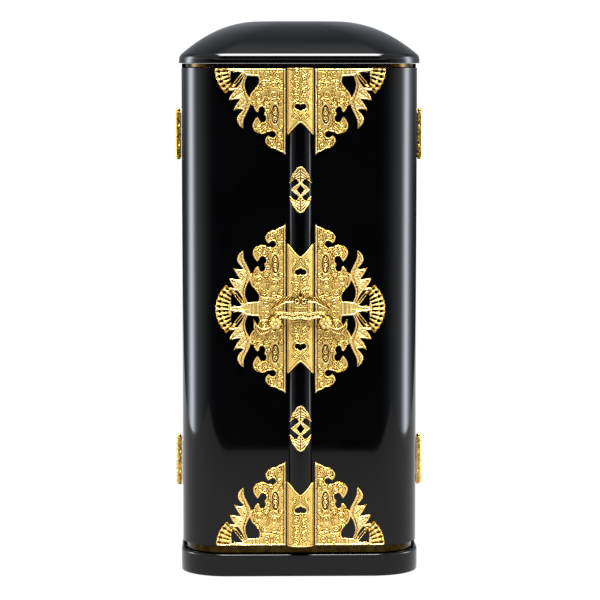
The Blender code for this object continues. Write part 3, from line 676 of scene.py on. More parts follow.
def spiral(centre, radius, start, turns, inner=0.18):
    """A volute from its outer end in to its eye. Turns may be negative. Start is in degrees."""
    count = max(8, int(abs(turns) * 16))
    points = []
    for k in range(count + 1):
        t = k / count
        reach = radius * (inner + (1 - inner) * (1 - t) ** 1.15)
        angle = math.radians(start + 360 * turns * t)
        points.append((centre[0] + reach * math.cos(angle), centre[1] + reach * math.sin(angle)))
    return points


def smooth_line(points, parts=6):
    """A rounder line through the points."""
    ends = np.array([points[0], *points, points[-1]], float)
    made = []
    for a, b, c, d in zip(ends, ends[1:], ends[2:], ends[3:]):
        for t in np.arange(parts) / parts:
            bend = (2 * a - 5 * b + 4 * c - d) * t * t + (3 * b - a - 3 * c + d) * t ** 3
            made.append(tuple(0.5 * (2 * b + (c - a) * t + bend)))
    return made + [tuple(ends[-1])]


def outline_of(runs):
    """A closed outline of smooth runs that meet in corners."""
    return [point for run in runs for point in smooth_line(run, 3)[:-1]]


def relief(u, v, field, height, edge):
    """Points, faces and proudness of a height field where the field is negative, flat below."""
    inside = field < 0
    count = int(inside.sum())
    points = [np.column_stack([u[inside], v[inside], height[inside]])]
    corner_id = np.full(field.shape, -1)
    corner_id[inside] = np.arange(count)
    edge_ids = []
    for first, second in ((np.s_[:-1], np.s_[1:]), (np.s_[:, :-1], np.s_[:, 1:])):
        a, b = field[first], field[second]
        hit = (a < 0) != (b < 0)
        t = np.clip(a[hit] / (a[hit] - b[hit]), 0.06, 0.94)
        near = [grid[first][hit] + t * (grid[second][hit] - grid[first][hit]) for grid in (u, v)]
        ids = np.full(a.shape, -1)
        ids[hit] = count + np.arange(len(t))
        count += len(t)
        edge_ids.append(ids)
        points.append(np.column_stack([*near, np.full(len(t), edge)]))
    low = np.vstack(points[1:]) * (1, 1, 0)
    first_rim = len(points[0])
    points = np.vstack(points + [low])
    spots = (np.s_[:-1, :-1], np.s_[1:, :-1], np.s_[1:, 1:], np.s_[:-1, 1:])
    corners = [corner_id[spot] for spot in spots]
    edges = [edge_ids[0][:, :-1], edge_ids[1][1:, :], edge_ids[0][:, 1:], edge_ids[1][:-1, :]]
    code = sum(inside[spot].astype(int) << k for k, spot in enumerate(spots))
    faces, runs = [], []
    for kind in range(1, 16):
        cells = code == kind
        if not cells.any():
            continue
        on = [bool(kind >> k & 1) for k in range(4)]
        row, exits, entries = [], [], []
        for k in range(4):
            if on[k]:
                row.append(corners[k][cells])
            if on[k] != on[(k + 1) % 4]:
                row.append(edges[k][cells])
                (exits if on[k] else entries).append(k)
        faces += np.column_stack(row).tolist()
        for k in exits:
            m = min(entries, key=lambda entry: (entry - k) % 4)
            runs.append(np.column_stack([edges[k][cells], edges[m][cells]]))
    runs = np.vstack(runs)
    lows = runs + (len(points) - len(low) - first_rim)
    faces += np.column_stack([lows[:, 0], lows[:, 1], runs[:, 1], runs[:, 0]]).tolist()
    faces += back_faces(points, lows.tolist())
    return points, faces, points[:, 2].copy()


def back_faces(points, runs):
    """Triangles that close a sheet's back, given its outline with the inside on the left."""
    used = sorted({k for run in runs for k in run})
    number = {k: n for n, k in enumerate(used)}
    walls = {(number[a], number[b]) for a, b in runs}
    drawn = [Vector(points[k][:2].tolist()) for k in used]
    made = geometry.delaunay_2d_cdt(drawn, sorted(walls), [], 0, 1e-6)
    faces = [[made[3][k][0] for k in face] for face in made[2]]
    sides = {}
    for n, face in enumerate(faces):
        for a, b in zip(face, face[1:] + face[:1]):
            sides[a, b] = n
    waiting = [sides[wall] for wall in walls if wall in sides]
    kept = set(waiting)
    while waiting:
        face = faces[waiting.pop()]
        for a, b in zip(face, face[1:] + face[:1]):
            beyond = sides.get((b, a))
            if beyond is None or beyond in kept or (a, b) in walls or (b, a) in walls:
                continue
            kept.add(beyond)
            waiting.append(beyond)
    return [[used[k] for k in reversed(faces[n])] for n in sorted(kept)]


def mark_relief(made, proud):
    """Keeps how proud each point stands, from 0 in deep engraving to 1 on the highest ridge."""
    level_of = made.attributes.new("relief", "FLOAT", "POINT")
    level_of.data.foreach_set("value", np.asarray(proud, np.float32).ravel())


def sheet_piece(node, body, faces, proud, places, flip=False):
    """A gilt piece of a relief sheet in its place. A mirrored sheet's faces are flipped."""
    made = bpy.data.meshes.new("sheet")
    made.from_pydata(places.tolist(), [], [face[::-1] for face in faces] if flip else faces)
    mark_relief(made, np.clip(proud, 0, 1))
    piece(node, "gilt", made, body, 50)


def wrap(points, section, back):
    """Bends flat sheet points round a section: X runs along it, Y is height, Z is depth out."""
    s, height, out = points.T
    x, y, nx, ny = section(np.abs(s))
    out = back + out
    return np.column_stack([np.sign(s) * (x + nx * out), y + ny * out, height])


# A plate's outlines and engraving, drawn for its upper half and mirrored

CREST = outline_of([
    [(0, 24.8), (0.9, 24), (2, 23.6), (3.1, 22.95), (4.3, 22.7), (5.4, 21.9), (6, 20.9),
     (5.8, 19.8), (5.1, 18.95)],
    [(5.1, 18.95), (4.6, 19.4), (3.8, 19.75), (3.1, 19.3), (2.95, 18.5), (3.7, 17.85)],
    [(3.7, 17.85), (5.2, 18.1), (6.4, 18.6), (7.6, 18.5), (8.8, 18), (9.55, 17), (9.65, 15.8),
     (9.1, 14.6), (8.3, 13.6)],
    [(8.3, 13.6), (7.85, 14.2), (7.4, 15), (6.6, 15.3), (5.85, 14.7), (5.8, 13.7), (6.4, 13),
     (6.05, 12.2), (6.3, 11.2), (7.1, 10.75), (7.7, 11.3), (7.85, 12.1), (8.4, 12.4)],
    [(8.4, 12.4), (9, 11.7), (9.5, 10.7), (10.3, 10.1), (10.55, 9), (10.5, 7.8), (9.9, 6.6),
     (8.8, 5.4), (8, 4.2), (7.8, 3), (8.1, 1.9), (8.1, -1)],
    [(8.1, -1), (-1, -1)], [(-1, -1), (-1, 24.8)]])
SPRAY = outline_of([
    [(12.4, 17.1), (13.5, 16.2), (14.1, 15), (14.1, 13.8), (13.3, 12.6), (12.4, 11.8)],
    [(12.4, 11.8), (13.3, 11.5), (14.3, 11.6), (15.3, 12)],
    [(15.3, 12), (14.7, 10.7), (14, 9.5), (13.3, 8.6)],
    [(13.3, 8.6), (14.2, 8.6), (15.3, 8.8), (16.5, 8.9)],
    [(16.5, 8.9), (16, 7.5), (15, 6.2), (13.9, 4.9), (13, 3.6), (12.4, 2.3), (11.7, 1.2)],
    [(11.7, 1.2), (11.2, 2), (11.8, 3.6), (11.85, 5.2), (11.3, 7), (10.5, 8.4), (10.3, 9.7),
     (10.6, 11.2), (11.6, 13.2), (12.3, 14.9), (12.4, 17.1)]])
VEINS = [[(11.1, 9), (11.8, 11.6), (13, 13.9), (13.2, 15.3), (12.6, 16.7)],
         [(11.8, 8.9), (13.2, 10.3), (15, 11.75)], [(12.2, 6.3), (14.2, 7.4), (16.2, 8.7)],
         [(11.2, 9.6), (11.9, 7.4), (12.6, 5), (12.2, 3.2), (11.5, 1.5)]]

STEMS = [smooth_line(line) for line in (
    [(3.9, 17.2), (4.7, 15.4), (5, 13.2), (4.6, 11.2), (3.5, 9.4)],
    [(1.5, 22.9), (2.6, 21.3), (2.5, 19.6), (1.3, 18.3), (1.2, 16.8)],
    [(1.1, 9.3), (2.2, 8.4), (4.2, 8.9), (5.4, 10.2)],
    [(1.2, 3.4), (3.2, 3.9), (5.2, 3.3), (7, 3.4), (8, 4.6)],
    [(4.6, 17.6), (5.6, 18), (7.6, 18), (9, 17)],
    [(5.6, 6), (5.3, 7.6), (5.9, 9.4)])]
VOLUTES = [((3.4, 4.3), 0.85, 140, 1.3), ((3.4, 7.4), 1.5, 200, -1.7),
           ((7.9, 8.2), 1.5, 160, -1.5), ((6.2, 15.9), 0.9, 90, 1.4),
           ((1.3, 9.9), 0.75, 60, -1.3), ((7.6, 16.9), 1.1, 170, -1.4), ((4.1, 21.2), 1, 100, -1.4),
           ((1.7, 19), 0.8, 250, 1.3), ((5.7, 1.5), 1.1, 80, 1.4), ((2.5, 1.7), 1.1, 110, -1.4),
           ((6.3, 4.9), 0.9, 200, 1.3), ((5.3, 12.2), 0.75, 120, 1.2), ((5.7, 9.9), 0.7, 30, -1.2),
           ((9.2, 10), 0.6, 200, -1), ((1.3, 16.6), 0.65, 300, 1.2), ((4.7, 17.4), 0.7, 20, 1.2),
           ((2, 22), 0.7, 60, 1.1), ((1.2, 5), 0.7, 10, 1.2), ((8.3, 5.6), 0.7, 250, 1.1)]
MEDALLION = (3.1, 13)
MEDALLION_HALF = (1, 2.55)
SWIRLS = [spiral(*swirl) for swirl in (((3, 14.3), 0.8, 90, -1.3), ((3.2, 12.6), 0.75, 250, -1.3),
                                       ((3.1, 11.3), 0.5, 80, 1))]
PITS = [(5, 14.2), (1.2, 14.2), (3.9, 16.3), (1.2, 12.4), (4.6, 10.2), (1.1, 7.4), (5.2, 5.6),
        (4.4, 3.6), (7, 6.2), (9.3, 7), (6.6, 10.6), (3, 17.4), (5.6, 18), (8.4, 17.9),
        (1.1, 20.6), (3.1, 20.2), (4.1, 1.9), (1.2, 3), (7.2, 2.4), (6, 7.6), (2.2, 10),
        (4.7, 12.9), (3.9, 0.6), (7.3, 15.4), (2, 4.2), (6.4, 13), (2.4, 15.9), (5.4, 8.6),
        (3.1, 23), (1, 18), (5.2, 20.4), (3.6, 5), (8.9, 3.6)]
TICKS = 5
TICK_TURN = 48.0            # degrees from one tick to the next


def ticks_round(centre, radius, start, turns):
    """Short leaf marks that stand on the outside of a volute."""
    made = []
    for k in range(TICKS):
        ends = []
        for share, reach in ((k + 0.6, 1.1), (k + 1.1, 1.38)):
            angle = math.radians(start + math.copysign(TICK_TURN * share, turns))
            ends.append((centre[0] + math.cos(angle) * radius * reach,
                         centre[1] + math.sin(angle) * radius * reach))
        made.append(ends)
    return made


def nanako(u, v, spacing):
    """The grain of a ground struck all over with a small ring punch."""
    return wave(u * 0.866 + v * 0.5, spacing) * wave(v * 0.866 - u * 0.5, spacing)


def swell(inward, width):
    """A quarter round: 0 on the edge, 1 from the width inwards."""
    return np.sqrt(np.clip(1 - (1 - np.clip(inward / width, 0, 1)) ** 2, 0, 1))


def rounded(height, inward, edge, width):
    """Lets a relief fall off towards its cut edge."""
    return edge + (height - edge) * swell(inward, width)


def crest_scroll(u, v, gap, tick_gap, swirl_gap):
    """The engraving of a crest: scrolls with their ticks, pits, a medallion and the ground."""
    scroll = 0.10 * hump(gap, 0.16) - 0.18 * hump(gap - 0.25, 0.16)
    scroll -= 0.2 * hump(tick_gap, 0.16) + 0.34 * pits_in(u, v, PITS, 0.3)
    oval = np.hypot((u - MEDALLION[0]) / MEDALLION_HALF[0], (v - MEDALLION[1]) / MEDALLION_HALF[1]) - 1
    oval *= 1.25
    swirls = -0.04 + 0.16 * hump(swirl_gap, 0.2) - 0.3 * hump(swirl_gap - 0.3, 0.2)
    scroll = np.where(oval < 0.1, swirls, scroll)
    scroll += 0.12 * hump(oval - 0.28, 0.2) - 0.28 * hump(oval, 0.17)
    return scroll + 0.04 * nanako(u, v, 0.46)


def plate_height(u, v, field, pierced):
    """How far each place of a plate stands out from its back.

    Each term is a depth times a ridge of some half width, in millimetres as everywhere.
    """
    inward = depth_of(field, PLATE_STEP)
    ticks = [tick for volute in VOLUTES for tick in ticks_round(*volute)]
    gap = line_gap(u, v, mirrored(STEMS + [spiral(*volute) for volute in VOLUTES], 1, -1))
    tick_gap = line_gap(u, v, mirrored(ticks, 1, -1), 0.4)
    veins = line_gap(u, v, mirrored(VEINS, 1, -1))
    swirl_gap = line_gap(u, v, mirrored(SWIRLS, 1, -1))
    v = np.abs(v)
    spray, fan = plate_spray(u, v) < 0, plate_fan(u, v) < 0
    crest = (~spray & ~fan | (u < 7.4)) & ~(spray & (u > 9))
    body = 0.30 + 0.10 * np.clip(inward / 0.8, 0, 1)
    body = np.where(crest, body + crest_scroll(u, v, gap, tick_gap, swirl_gap), body)
    barbs = 0.06 * wave(veins * 1.1 + u * 0.3 + v * 0.9, 0.9) * np.clip(inward / 0.5, 0, 1)
    leafy = body + 0.16 * swell(inward, 1) - 0.08 - 0.26 * hump(veins, 0.18) + barbs
    body = np.where(spray & (u > 9.6), leafy, body)
    angle, reach = fan_polar(u, v)
    ribs = 0.12 * wave(angle, FAN_SCALLOP) - 0.1
    rings = 0.10 * hump(reach - 7.75, 0.22) + 0.08 * hump(reach - 5.75, 0.2)
    body = np.where(fan & (u > 14) & (reach > 5.4), body + ribs + rings, body)
    bands = sum(0.15 * hump(u - place, 0.2) for place in (8.1, 9.4, 10.5))
    grooves = sum(0.14 * hump(u - place, 0.16) for place in (7.7, 8.6, 9, 10))
    stalk = 0.42 + bands - grooves - 0.12 * hump(v, 0.15) * (u > 10.9)
    body = np.where(fan & (u <= 17) & (v < 2.3) & (u > 7.2), stalk, body)
    body += (0.14 * hump(u - 0.3, 0.3) - 0.18 * hump(u - 0.68, 0.16)) * (u < 1)
    if not pierced:
        body -= 0.26 * hump(np.clip(fan_holes(u, v) + 0.3, 0, 1), 0.35) * fan
    rim = 0.17 * hump(inward - 0.27, 0.25) - 0.12 * hump(inward - 0.62, 0.16)
    return rounded(np.clip(body + rim, 0.06, PLATE_TOP), inward, PLATE_EDGE, 0.12)


def make_plates():
    top_line, bottom_line = DOOR_TOP - PLATE_LINE_INSET, DOOR_BOTTOM + PLATE_LINE_INSET
    rows = {"top": (top_line, top_line - PLATE_HALF_HEIGHT, DOOR_TOP - PLATE_MARGIN),
            "middle": (MIDDLE_Z, MIDDLE_Z - PLATE_HALF_HEIGHT, MIDDLE_Z + PLATE_HALF_HEIGHT),
            "bottom": (bottom_line, DOOR_BOTTOM + PLATE_MARGIN, bottom_line + PLATE_HALF_HEIGHT)}
    for row, (line, low, high) in rows.items():
        u, v = grid_of((0, PLATE_REACH), (low - line, high - line), PLATE_STEP)
        pierced = row != "bottom"
        field = np.maximum(plate_field(u, v), np.maximum(low - line - v, v - high + line))
        if pierced:
            field = without(field, fan_holes(u, np.abs(v)))
        height = plate_height(u, v, field, pierced)
        if row == "middle":
            # A shallow sunk ring round the rosette, whose low relief darkens the gilt there as a
            # painted shadow of the rosette
            seat = np.hypot(u - (POST_X - PLATE_START) / PLATE_DRAWN[0], v + POST_DROP)
            height = np.maximum(height - 0.24 * hump(seat - HEAD_RADIUS - 0.25, 0.5), 0.1)
        points, faces, proud = relief(u, v, field, height, PLATE_EDGE)
        placed = points * PLATE_DRAWN + (PLATE_START, line, 0)
        wrapped = wrap(placed, along_door, FIT) + (0, FRONT, 0)
        for hand, side in HANDS:
            sheet_piece(hand + "_" + row + "_plate", hand + "_door", faces, proud / PLATE_TOP,
                        wrapped * (side, 1, 1), side < 0)


def cap_height(s, z, field, low, high, notch_low, notch_high):
    inward = depth_of(field, CAP_STEP)
    lines, pits = [], []
    first = low + (NOTCH + HEART_FROM_NOTCH + 2.6 if notch_low else 1.6)
    last = high - (NOTCH + HEART_FROM_NOTCH + 2.6 if notch_high else 1.6)
    count = int((last - first) / 1.7)
    for k in range(count + 1):
        place = first + (last - first) * k / max(count, 1)
        side = 1 if k % 2 else -1
        lines.append(spiral((side, place), 0.95, 90 * side, side * 1.4))
        lines.append(spiral((-side * 1.35, place + 0.4), 0.75, 200, -side * 1.2))
        lines.append([(side * 2.4, place + 0.9), (side * 1.5, place + 1.4), (side * 0.5, place + 1.1)])
        lines.append([(-side * 2.5, place - 0.3), (-side * 1.9, place - 0.8)])
        pits += [(side * x, place + y) for x, y in ((2.2, 0.4), (-0.3, 0.9), (-2.3, -0.6),
                                                    (0.5, -0.85), (2.4, -0.6))]
    if notch_low:
        lines += heart_lines(low + NOTCH, 1)
    if notch_high:
        lines += heart_lines(high - NOTCH, -1)
    gap = line_gap(s, z, lines)
    height = 0.26 + 0.07 * hump(inward - 0.22, 0.22) - 0.15 * hump(inward - 0.55, 0.15)
    height -= 0.08 * hump(np.abs(s) - 2.95, 0.13) + 0.22 * pits_in(s, z, pits, 0.26)
    height += 0.07 * hump(gap, 0.14) - 0.19 * hump(gap - 0.22, 0.14)
    height += 0.028 * nanako(s, z, 0.42) * (np.abs(s) < 2.8)
    return rounded(np.clip(height, 0.05, 0.36), inward, 0.1, 0.14)


def heart_lines(end, up):
    """The engraved curls and brackets between a notch's point and its heart, up from the end."""
    reach = HEART_FROM_NOTCH
    lines = []
    for side in (-1, 1):
        bracket = [(0, 0.5), (0.25 * side, 1.5), (0.9 * side, 2.3), (1.75 * side, reach - 1),
                   (2 * side, reach + 0.3), (1.3 * side, reach + 1.25), (0, reach + 1.2)]
        lines.append(smooth_line([(s, end + up * z) for s, z in bracket]))
        curl = spiral((1.55 * side, 1.35), 0.8, 90, -1.2 * side)
        lines.append([(s, end + up * z) for s, z in curl])
    return lines


def batten_sheet(node, u, v, field, height, offset_z, palest):
    points, faces, proud = relief(u, v, field, height, 0.1)
    wrapped = wrap(points, along_batten, SLEEVE_GAP) + (0, FRONT - BATTEN_FRONT, offset_z)
    sheet_piece(node, "right_door", faces, proud / palest, wrapped)


def make_caps():
    reach = batten_section()[0][-1]
    middle = MIDDLE_CAP_LENGTH / 2
    caps = {"top_cap": (DOOR_TOP - TOP_CAP_LENGTH, DOOR_TOP, True, False),
            "middle_cap": (MIDDLE_Z - middle, MIDDLE_Z + middle, True, True),
            "bottom_cap": (DOOR_BOTTOM, DOOR_BOTTOM + BOTTOM_CAP_LENGTH, False, True)}
    for name, ends in caps.items():
        s, z = grid_of((-reach, reach), ends[:2], CAP_STEP)
        flat = np.abs(s)
        across = along_batten(flat)[0]
        across = across + 0.3 * np.clip(across - 2.4, 0, 1)
        across = np.maximum(across, flat - reach + BATTEN_WIDTH / 2)
        field = sleeve_field(across, z, *ends, BATTEN_WIDTH)
        field = np.maximum(field, flat - reach)
        batten_sheet(name, s, z, field, cap_height(s, z, field, *ends), 0, CAP_TOP)


def make_lozenges():
    middle = MIDDLE_CAP_LENGTH / 2
    upper = (DOOR_TOP - TOP_CAP_LENGTH + MIDDLE_Z + middle) / 2
    lower = (DOOR_BOTTOM + BOTTOM_CAP_LENGTH + MIDDLE_Z - middle) / 2
    u, v = grid_of((-LOZENGE_HALF_WIDTH, LOZENGE_HALF_WIDTH),
                   (-LOZENGE_HALF_HEIGHT, LOZENGE_HALF_HEIGHT), SMALL_STEP)
    field = lozenge_field(u, v)
    inward = depth_of(field, SMALL_STEP)
    slits = [[(0.35, 5.9), (1.2, 4.9)], [(0.3, 5), (1.6, 3.9)], [(0.3, 4.1), (2.2, 3)],
             [(0.2, 3.3), (1, 3)], [(0, 6.2), (0, 2.4)], [(2.3, 3.4), (3.1, 2.2)]]
    slit_gap = line_gap(u, v, mirrored(mirrored(slits, -1, 1), 1, -1))
    height = 0.2 + 0.16 * np.clip(inward / 0.7, 0, 1) - 0.3 * hump(slit_gap, 0.2)
    height += 0.08 * hump(inward - 0.2, 0.2) - 0.12 * hump(inward - 0.5, 0.13)
    height = np.clip(height + 0.05 * nanako(u, v, 0.5), 0.04, LOZENGE_TOP)
    for node, place in (("upper_lozenge", upper), ("lower_lozenge", lower)):
        batten_sheet(node, u, v, field, rounded(height, inward, 0.1, 0.12), place, LOZENGE_TOP)


def upright(points, back, offset_x=0.0, side=1):
    """Stands flat sheet points up before the doors, X to the side and Y up from the middle."""
    u, v, out = points.T
    return np.column_stack([side * (u + offset_x), FRONT - back - out, MIDDLE_Z + v])


def make_latch():
    reach = POST_X + POST_RADIUS + POST_CLEARANCE + EYE_WALL
    u, v = grid_of((-reach, reach), (-POST_DROP - 2, 6.8), SMALL_STEP)
    side = np.abs(u)
    field = latch_field(u, v)
    inward = depth_of(field, SMALL_STEP)
    height = 0.3 + 0.18 * swell(inward, 0.8)
    upper = stroke(side, v, UPPER_RIBBON, UPPER_RADII)
    lower = stroke(side, v, LOWER_RIBBON, LOWER_RADII)
    binder = (side < 2.35) & (v > -0.75) & (v < 1.25)
    above = v - np.interp(side, *zip(*UPPER_RIBBON))
    vane = np.where(above > -0.3, 0.13 * wave(side * 0.8 + v * 0.6, 0.6) - 0.21, 0)
    vane += 0.16 * hump(above + 0.6, 0.3) - 0.2 * hump(above + 0.28, 0.14)
    height = np.where((upper < 0) & ~binder & (side > 1.9), height + vane, height)
    strands = line_gap(u, v, mirrored([LOWER_RIBBON], -1, 1))
    cords = 0.1 * hump(strands - 0.5, 0.4) - 0.36 * hump(strands, 0.26) - 0.05
    cords += 0.07 * wave(side * 0.9 - v * 0.5, 0.95) * (strands > 0.3)
    height = np.where((lower < 0) & ~binder, height + cords, height)
    bands = sum(0.34 * hump(v - place, 0.17) for place in (0.95, 0.45, -0.05, -0.55))
    height = np.where(binder, 0.46 - bands, height)
    petals = [[(0, 4.9), (0, 5.9)], [(0.9, 3.6), (2.2, 5)], [(1.3, 3.2), (3.1, 4.1)],
              [(0.72, 2.7), (0.85, 4.6)], [(0.35, 2.6), (0.3, 3.1)]]
    height -= 0.3 * hump(line_gap(u, v, mirrored(petals, -1, 1)), 0.17) * (v > 2.5)
    curl_gap = line_gap(u, v, mirrored([spiral((1.1, 2.3), 0.8, 60, 0.9, 0.5)], -1, 1))
    height += 0.14 * hump(curl_gap, 0.17) - 0.42 * hump(curl_gap - 0.36, 0.19) * (side < 2.2)
    pit = stroke(side, v, [(0, 3.8), (0, 4.25), (0, 4.9)], [0.12, 0.34, 0.03])
    height -= 0.5 * hump(np.clip(pit, 0, 1), 0.2)
    height += 0.12 * hump(inward - 0.17, 0.17) - 0.16 * hump(inward - 0.42, 0.14)
    height = rounded(np.clip(height, 0.1, LATCH_THICK), inward, 0.18, 0.16)
    points, faces, proud = relief(u, v, field, height, 0.18)
    sheet_piece("latch", "latch", faces, proud / LATCH_TOP, upright(points, LATCH_BACK))


def make_pulls():
    u, v = grid_of((0.9, 6.8), (-3.8, 1.3), SMALL_STEP)
    field = pull_field(u, v)
    inward = depth_of(field, SMALL_STEP)
    height = 0.26 + 0.16 * np.clip(inward / 0.6, 0, 1)
    hatch = 0.1 * wave(u * 0.9 - v * 0.45, 0.55)
    height = np.where(inward > 0.4, height - 0.2 + hatch, height) + 0.1 * hump(inward - 0.25, 0.2)
    # The edge falls to a low relief so that the gilt's colour draws a dark outline round the pull, a
    # painted shadow
    height = rounded(np.clip(height, 0.06, PULL_THICK), inward, 0.06, 0.24)
    points, faces, proud = relief(u, v, field, height, 0.06)
    points = points - (0, POST_DROP, 0)
    for hand, side in HANDS:
        sheet_piece(hand + "_pull", hand + "_door", faces, proud / PULL_THICK,
                    upright(points, PLATE_FRONT + FIT, POST_X, side), side < 0)


def rosette_rings():
    """Depths out, reaches and proudness round a post and its six-petalled head, ring by ring."""
    head = LATCH_FRONT + HEAD_CLEARANCE
    turns = 2 * math.pi * np.arange(PETALS * 16) / (PETALS * 16)
    lean = (turns + math.pi / PETALS) % (2 * math.pi / PETALS) - math.pi / PETALS
    rim = PETAL_PLACE * np.cos(lean)
    rim = rim + np.sqrt(PETAL_RADIUS ** 2 - (PETAL_PLACE * np.sin(lean)) ** 2)
    level_ring = np.ones_like(turns)
    rows = [(depth * level_ring, POST_RADIUS * level_ring, 0.3 * level_ring)
            for depth in (PLATE_FRONT + FIT, head)]
    rows.append((head * level_ring, rim * 0.98, 0.4 * level_ring))
    for t in np.linspace(0, 1, HEAD_STEPS):
        reach = np.maximum(rim * min(1, 1.12 - t * 1.12), 0.02)
        gap = np.hypot(reach * np.cos(lean) - PETAL_PLACE, reach * np.sin(lean))
        dome = np.sqrt(np.clip(1 - (gap / PETAL_RADIUS) ** 2, 0, 1))
        boss = np.sqrt(np.clip(1 - (reach / BOSS_RADIUS) ** 2, 0, 1))
        out = np.maximum(HEAD_THICK * (0.15 + 0.85 * dome), (HEAD_THICK + HEAD_DOME) * boss)
        out = out * np.clip((1.001 - reach / rim) * 12, None, 1)
        # This proudness only sets the gilt's colour: it falls low at the petals' edges and between
        # them as painted shade
        rows.append((head + out, reach, 0.02 + 0.95 * np.maximum(dome, boss) ** 1.4))
    return turns, rows


def make_rosettes():
    turns, rows = rosette_rings()
    for hand, side in HANDS:
        rings = [list(zip(side * POST_X + reach * np.cos(turns), FRONT - depth,
                          POST_Z + reach * np.sin(turns))) for depth, reach, _ in rows]
        made = mesh_of(stack(rings))
        mark_relief(made, [proud for _, _, proud in rows])
        piece(hand + "_rosette", "gilt", made, hand + "_door", 60)


# The lacquered cabinet

def make_base():
    rows = [(-0.4, 0), (-0.1, 0.12), (0, 0.4), (0, 2)]
    rows += [(-BASE_EASE * (1 - math.cos(angle)), BASE_HEIGHT - BASE_EASE * (1 - math.sin(angle)))
             for angle in np.linspace(0, math.pi / 2, 7)]
    rings = [level(plan_outline(BASE_PROUD + inset), z) for inset, z in rows]
    piece("base", "lacquer", mesh_of(stack(rings)), "cabinet", 50)


def make_roof():
    """A rim whose top rounds over into a dome, with hips that stay round as it rises."""
    rings = [(-0.1, -0.16), (-0.03, -0.13), (0, -0.06), (0, 0), (0, 0.6)]
    rings += [(-ROOF_EASE * (1 - math.cos(angle)), RIM_FACE + ROOF_EASE * math.sin(angle))
              for angle in np.radians(np.linspace(0, ROOF_LEAN, 21))]
    foot, low = rings[-1]
    rounding = [1] * len(rings)
    for t in np.linspace(0, 1, DOME_STEPS + 1)[1:]:
        rise = low + (ROOF_HEIGHT - low) * (1 - (1 - t) ** DOME_CURVE)
        rings.append((foot - t * (DOME_REACH + foot), rise))
        rounding.append(1 + 3 * t)
    places = [level(plan_outline(ROOF_PROUD + inset, rounding=soft), ROOF_Z + rise)
              for (inset, rise), soft in zip(rings, rounding)]
    piece("roof", "lacquer", mesh_of(stack(places)), "cabinet", 60)


def painted(made, picks):
    """Gives the second material to the faces that a test picks."""
    for face in made.polygons:
        if picks(face.center, face.normal):
            face.material_index = 1
    return made


def inside_door(middle, normal):
    """Whether a door's face looks into the cabinet."""
    corner_y = FRONT + CORNER_RADIUS
    if middle.y > corner_y:
        return abs(middle.x) < HALF - WALL + 0.1 and abs(normal.x) > 0.7
    if abs(middle.x) < FLAT_HALF:
        return middle.y > FRONT + WALL - 0.1 and normal.y > 0.7
    outward = math.hypot(abs(middle.x) - FLAT_HALF, middle.y - corner_y)
    return outward < CORNER_RADIUS - WALL + 0.1 and abs(normal.z) < 0.3


def make_doors():
    meet, end, corner = FIT / 2, SPLIT_Y - FIT / 2, (FLAT_HALF, FRONT + CORNER_RADIUS)
    right = ([(meet, FRONT)] + arc(*corner, CORNER_RADIUS, -90, 0, CORNER_STEPS)
             + [(HALF, end), (HALF - WALL, end)]
             + arc(*corner, CORNER_RADIUS - WALL, 0, -90, CORNER_STEPS) + [(meet, FRONT + WALL)])
    for hand, side in HANDS:
        outline = right if side > 0 else [(-x, y) for x, y in reversed(right)]
        made = mesh_of(eased(prism(outline, DOOR_BOTTOM, DOOR_TOP), DOOR_EASE))
        piece(hand + "_door", "lacquer", painted(made, inside_door), hand + "_door", 40, LEAF)


def make_carcass():
    inner = BACK - BACK_WALL
    outline = [(-HALF, inner), (HALF, inner)] + corners_of((HALF, BACK, REAR_RADIUS, 0),
                                                           (-HALF, BACK, REAR_RADIUS, 90))
    made = mesh_of(eased(prism(outline, FLOOR_Z, CEILING_TOP), PANEL_EASE, 60))
    made = painted(made, lambda middle, normal: normal.y < -0.9)
    piece("back_panel", "lacquer", made, "cabinet", 40, LEAF)
    for hand, side in HANDS:
        near, rear = SPLIT_Y + FIT / 2, inner - FIT
        corners = [(side * x, y) for x, y in ((HALF - WALL, near), (HALF, near), (HALF, rear),
                                              (HALF - WALL, rear))]
        made = mesh_of(eased(prism(corners, FLOOR_Z, CEILING_TOP), DOOR_EASE))
        made = painted(made, lambda middle, normal, side=side: normal.x * side < -0.9)
        piece(hand + "_side_wall", "lacquer", made, "cabinet", 40, LEAF)


def make_boards():
    """The boards between the carcass walls, gilded flat, with their front edges darkened as painted
    shade of the recess they sit in.
    """
    narrow, rear, step = HALF - WALL - FIT, BACK - BACK_WALL - FIT, SPLIT_Y - FIT
    half, front, radius = HALF - BOARD_INSET, FRONT + BOARD_INSET, CORNER_RADIUS - BOARD_INSET
    outline = corners_of((-half, front, radius, 180), (half, front, radius, 270))
    outline += [(half, step), (narrow, step), (narrow, rear), (-narrow, rear), (-narrow, step),
                (-half, step)]
    for node, low, thick in (("floor_board", FLOOR_Z, FLOOR_THICK),
                             ("ceiling_board", CEILING_TOP - CEILING_THICK, CEILING_THICK)):
        made = mesh_of(prism(outline, low, low + thick))
        # Their upright edges take the second material, the dark painted shade
        made = painted(made, lambda middle, normal: abs(normal.z) < 0.5)
        piece(node, "leaf", made, "cabinet", 30, PAINTED_SHADE_EDGE)


def make_batten():
    _, x, fall, _ = batten_section()
    right = list(zip(x, FRONT - BATTEN_FRONT + fall))
    outline = [(-a, b) for a, b in reversed(right[1:])] + right
    made = mesh_of(prism(outline, DOOR_BOTTOM, DOOR_TOP))
    piece("batten", "lacquer", made, "right_door", 40)


# The hinges

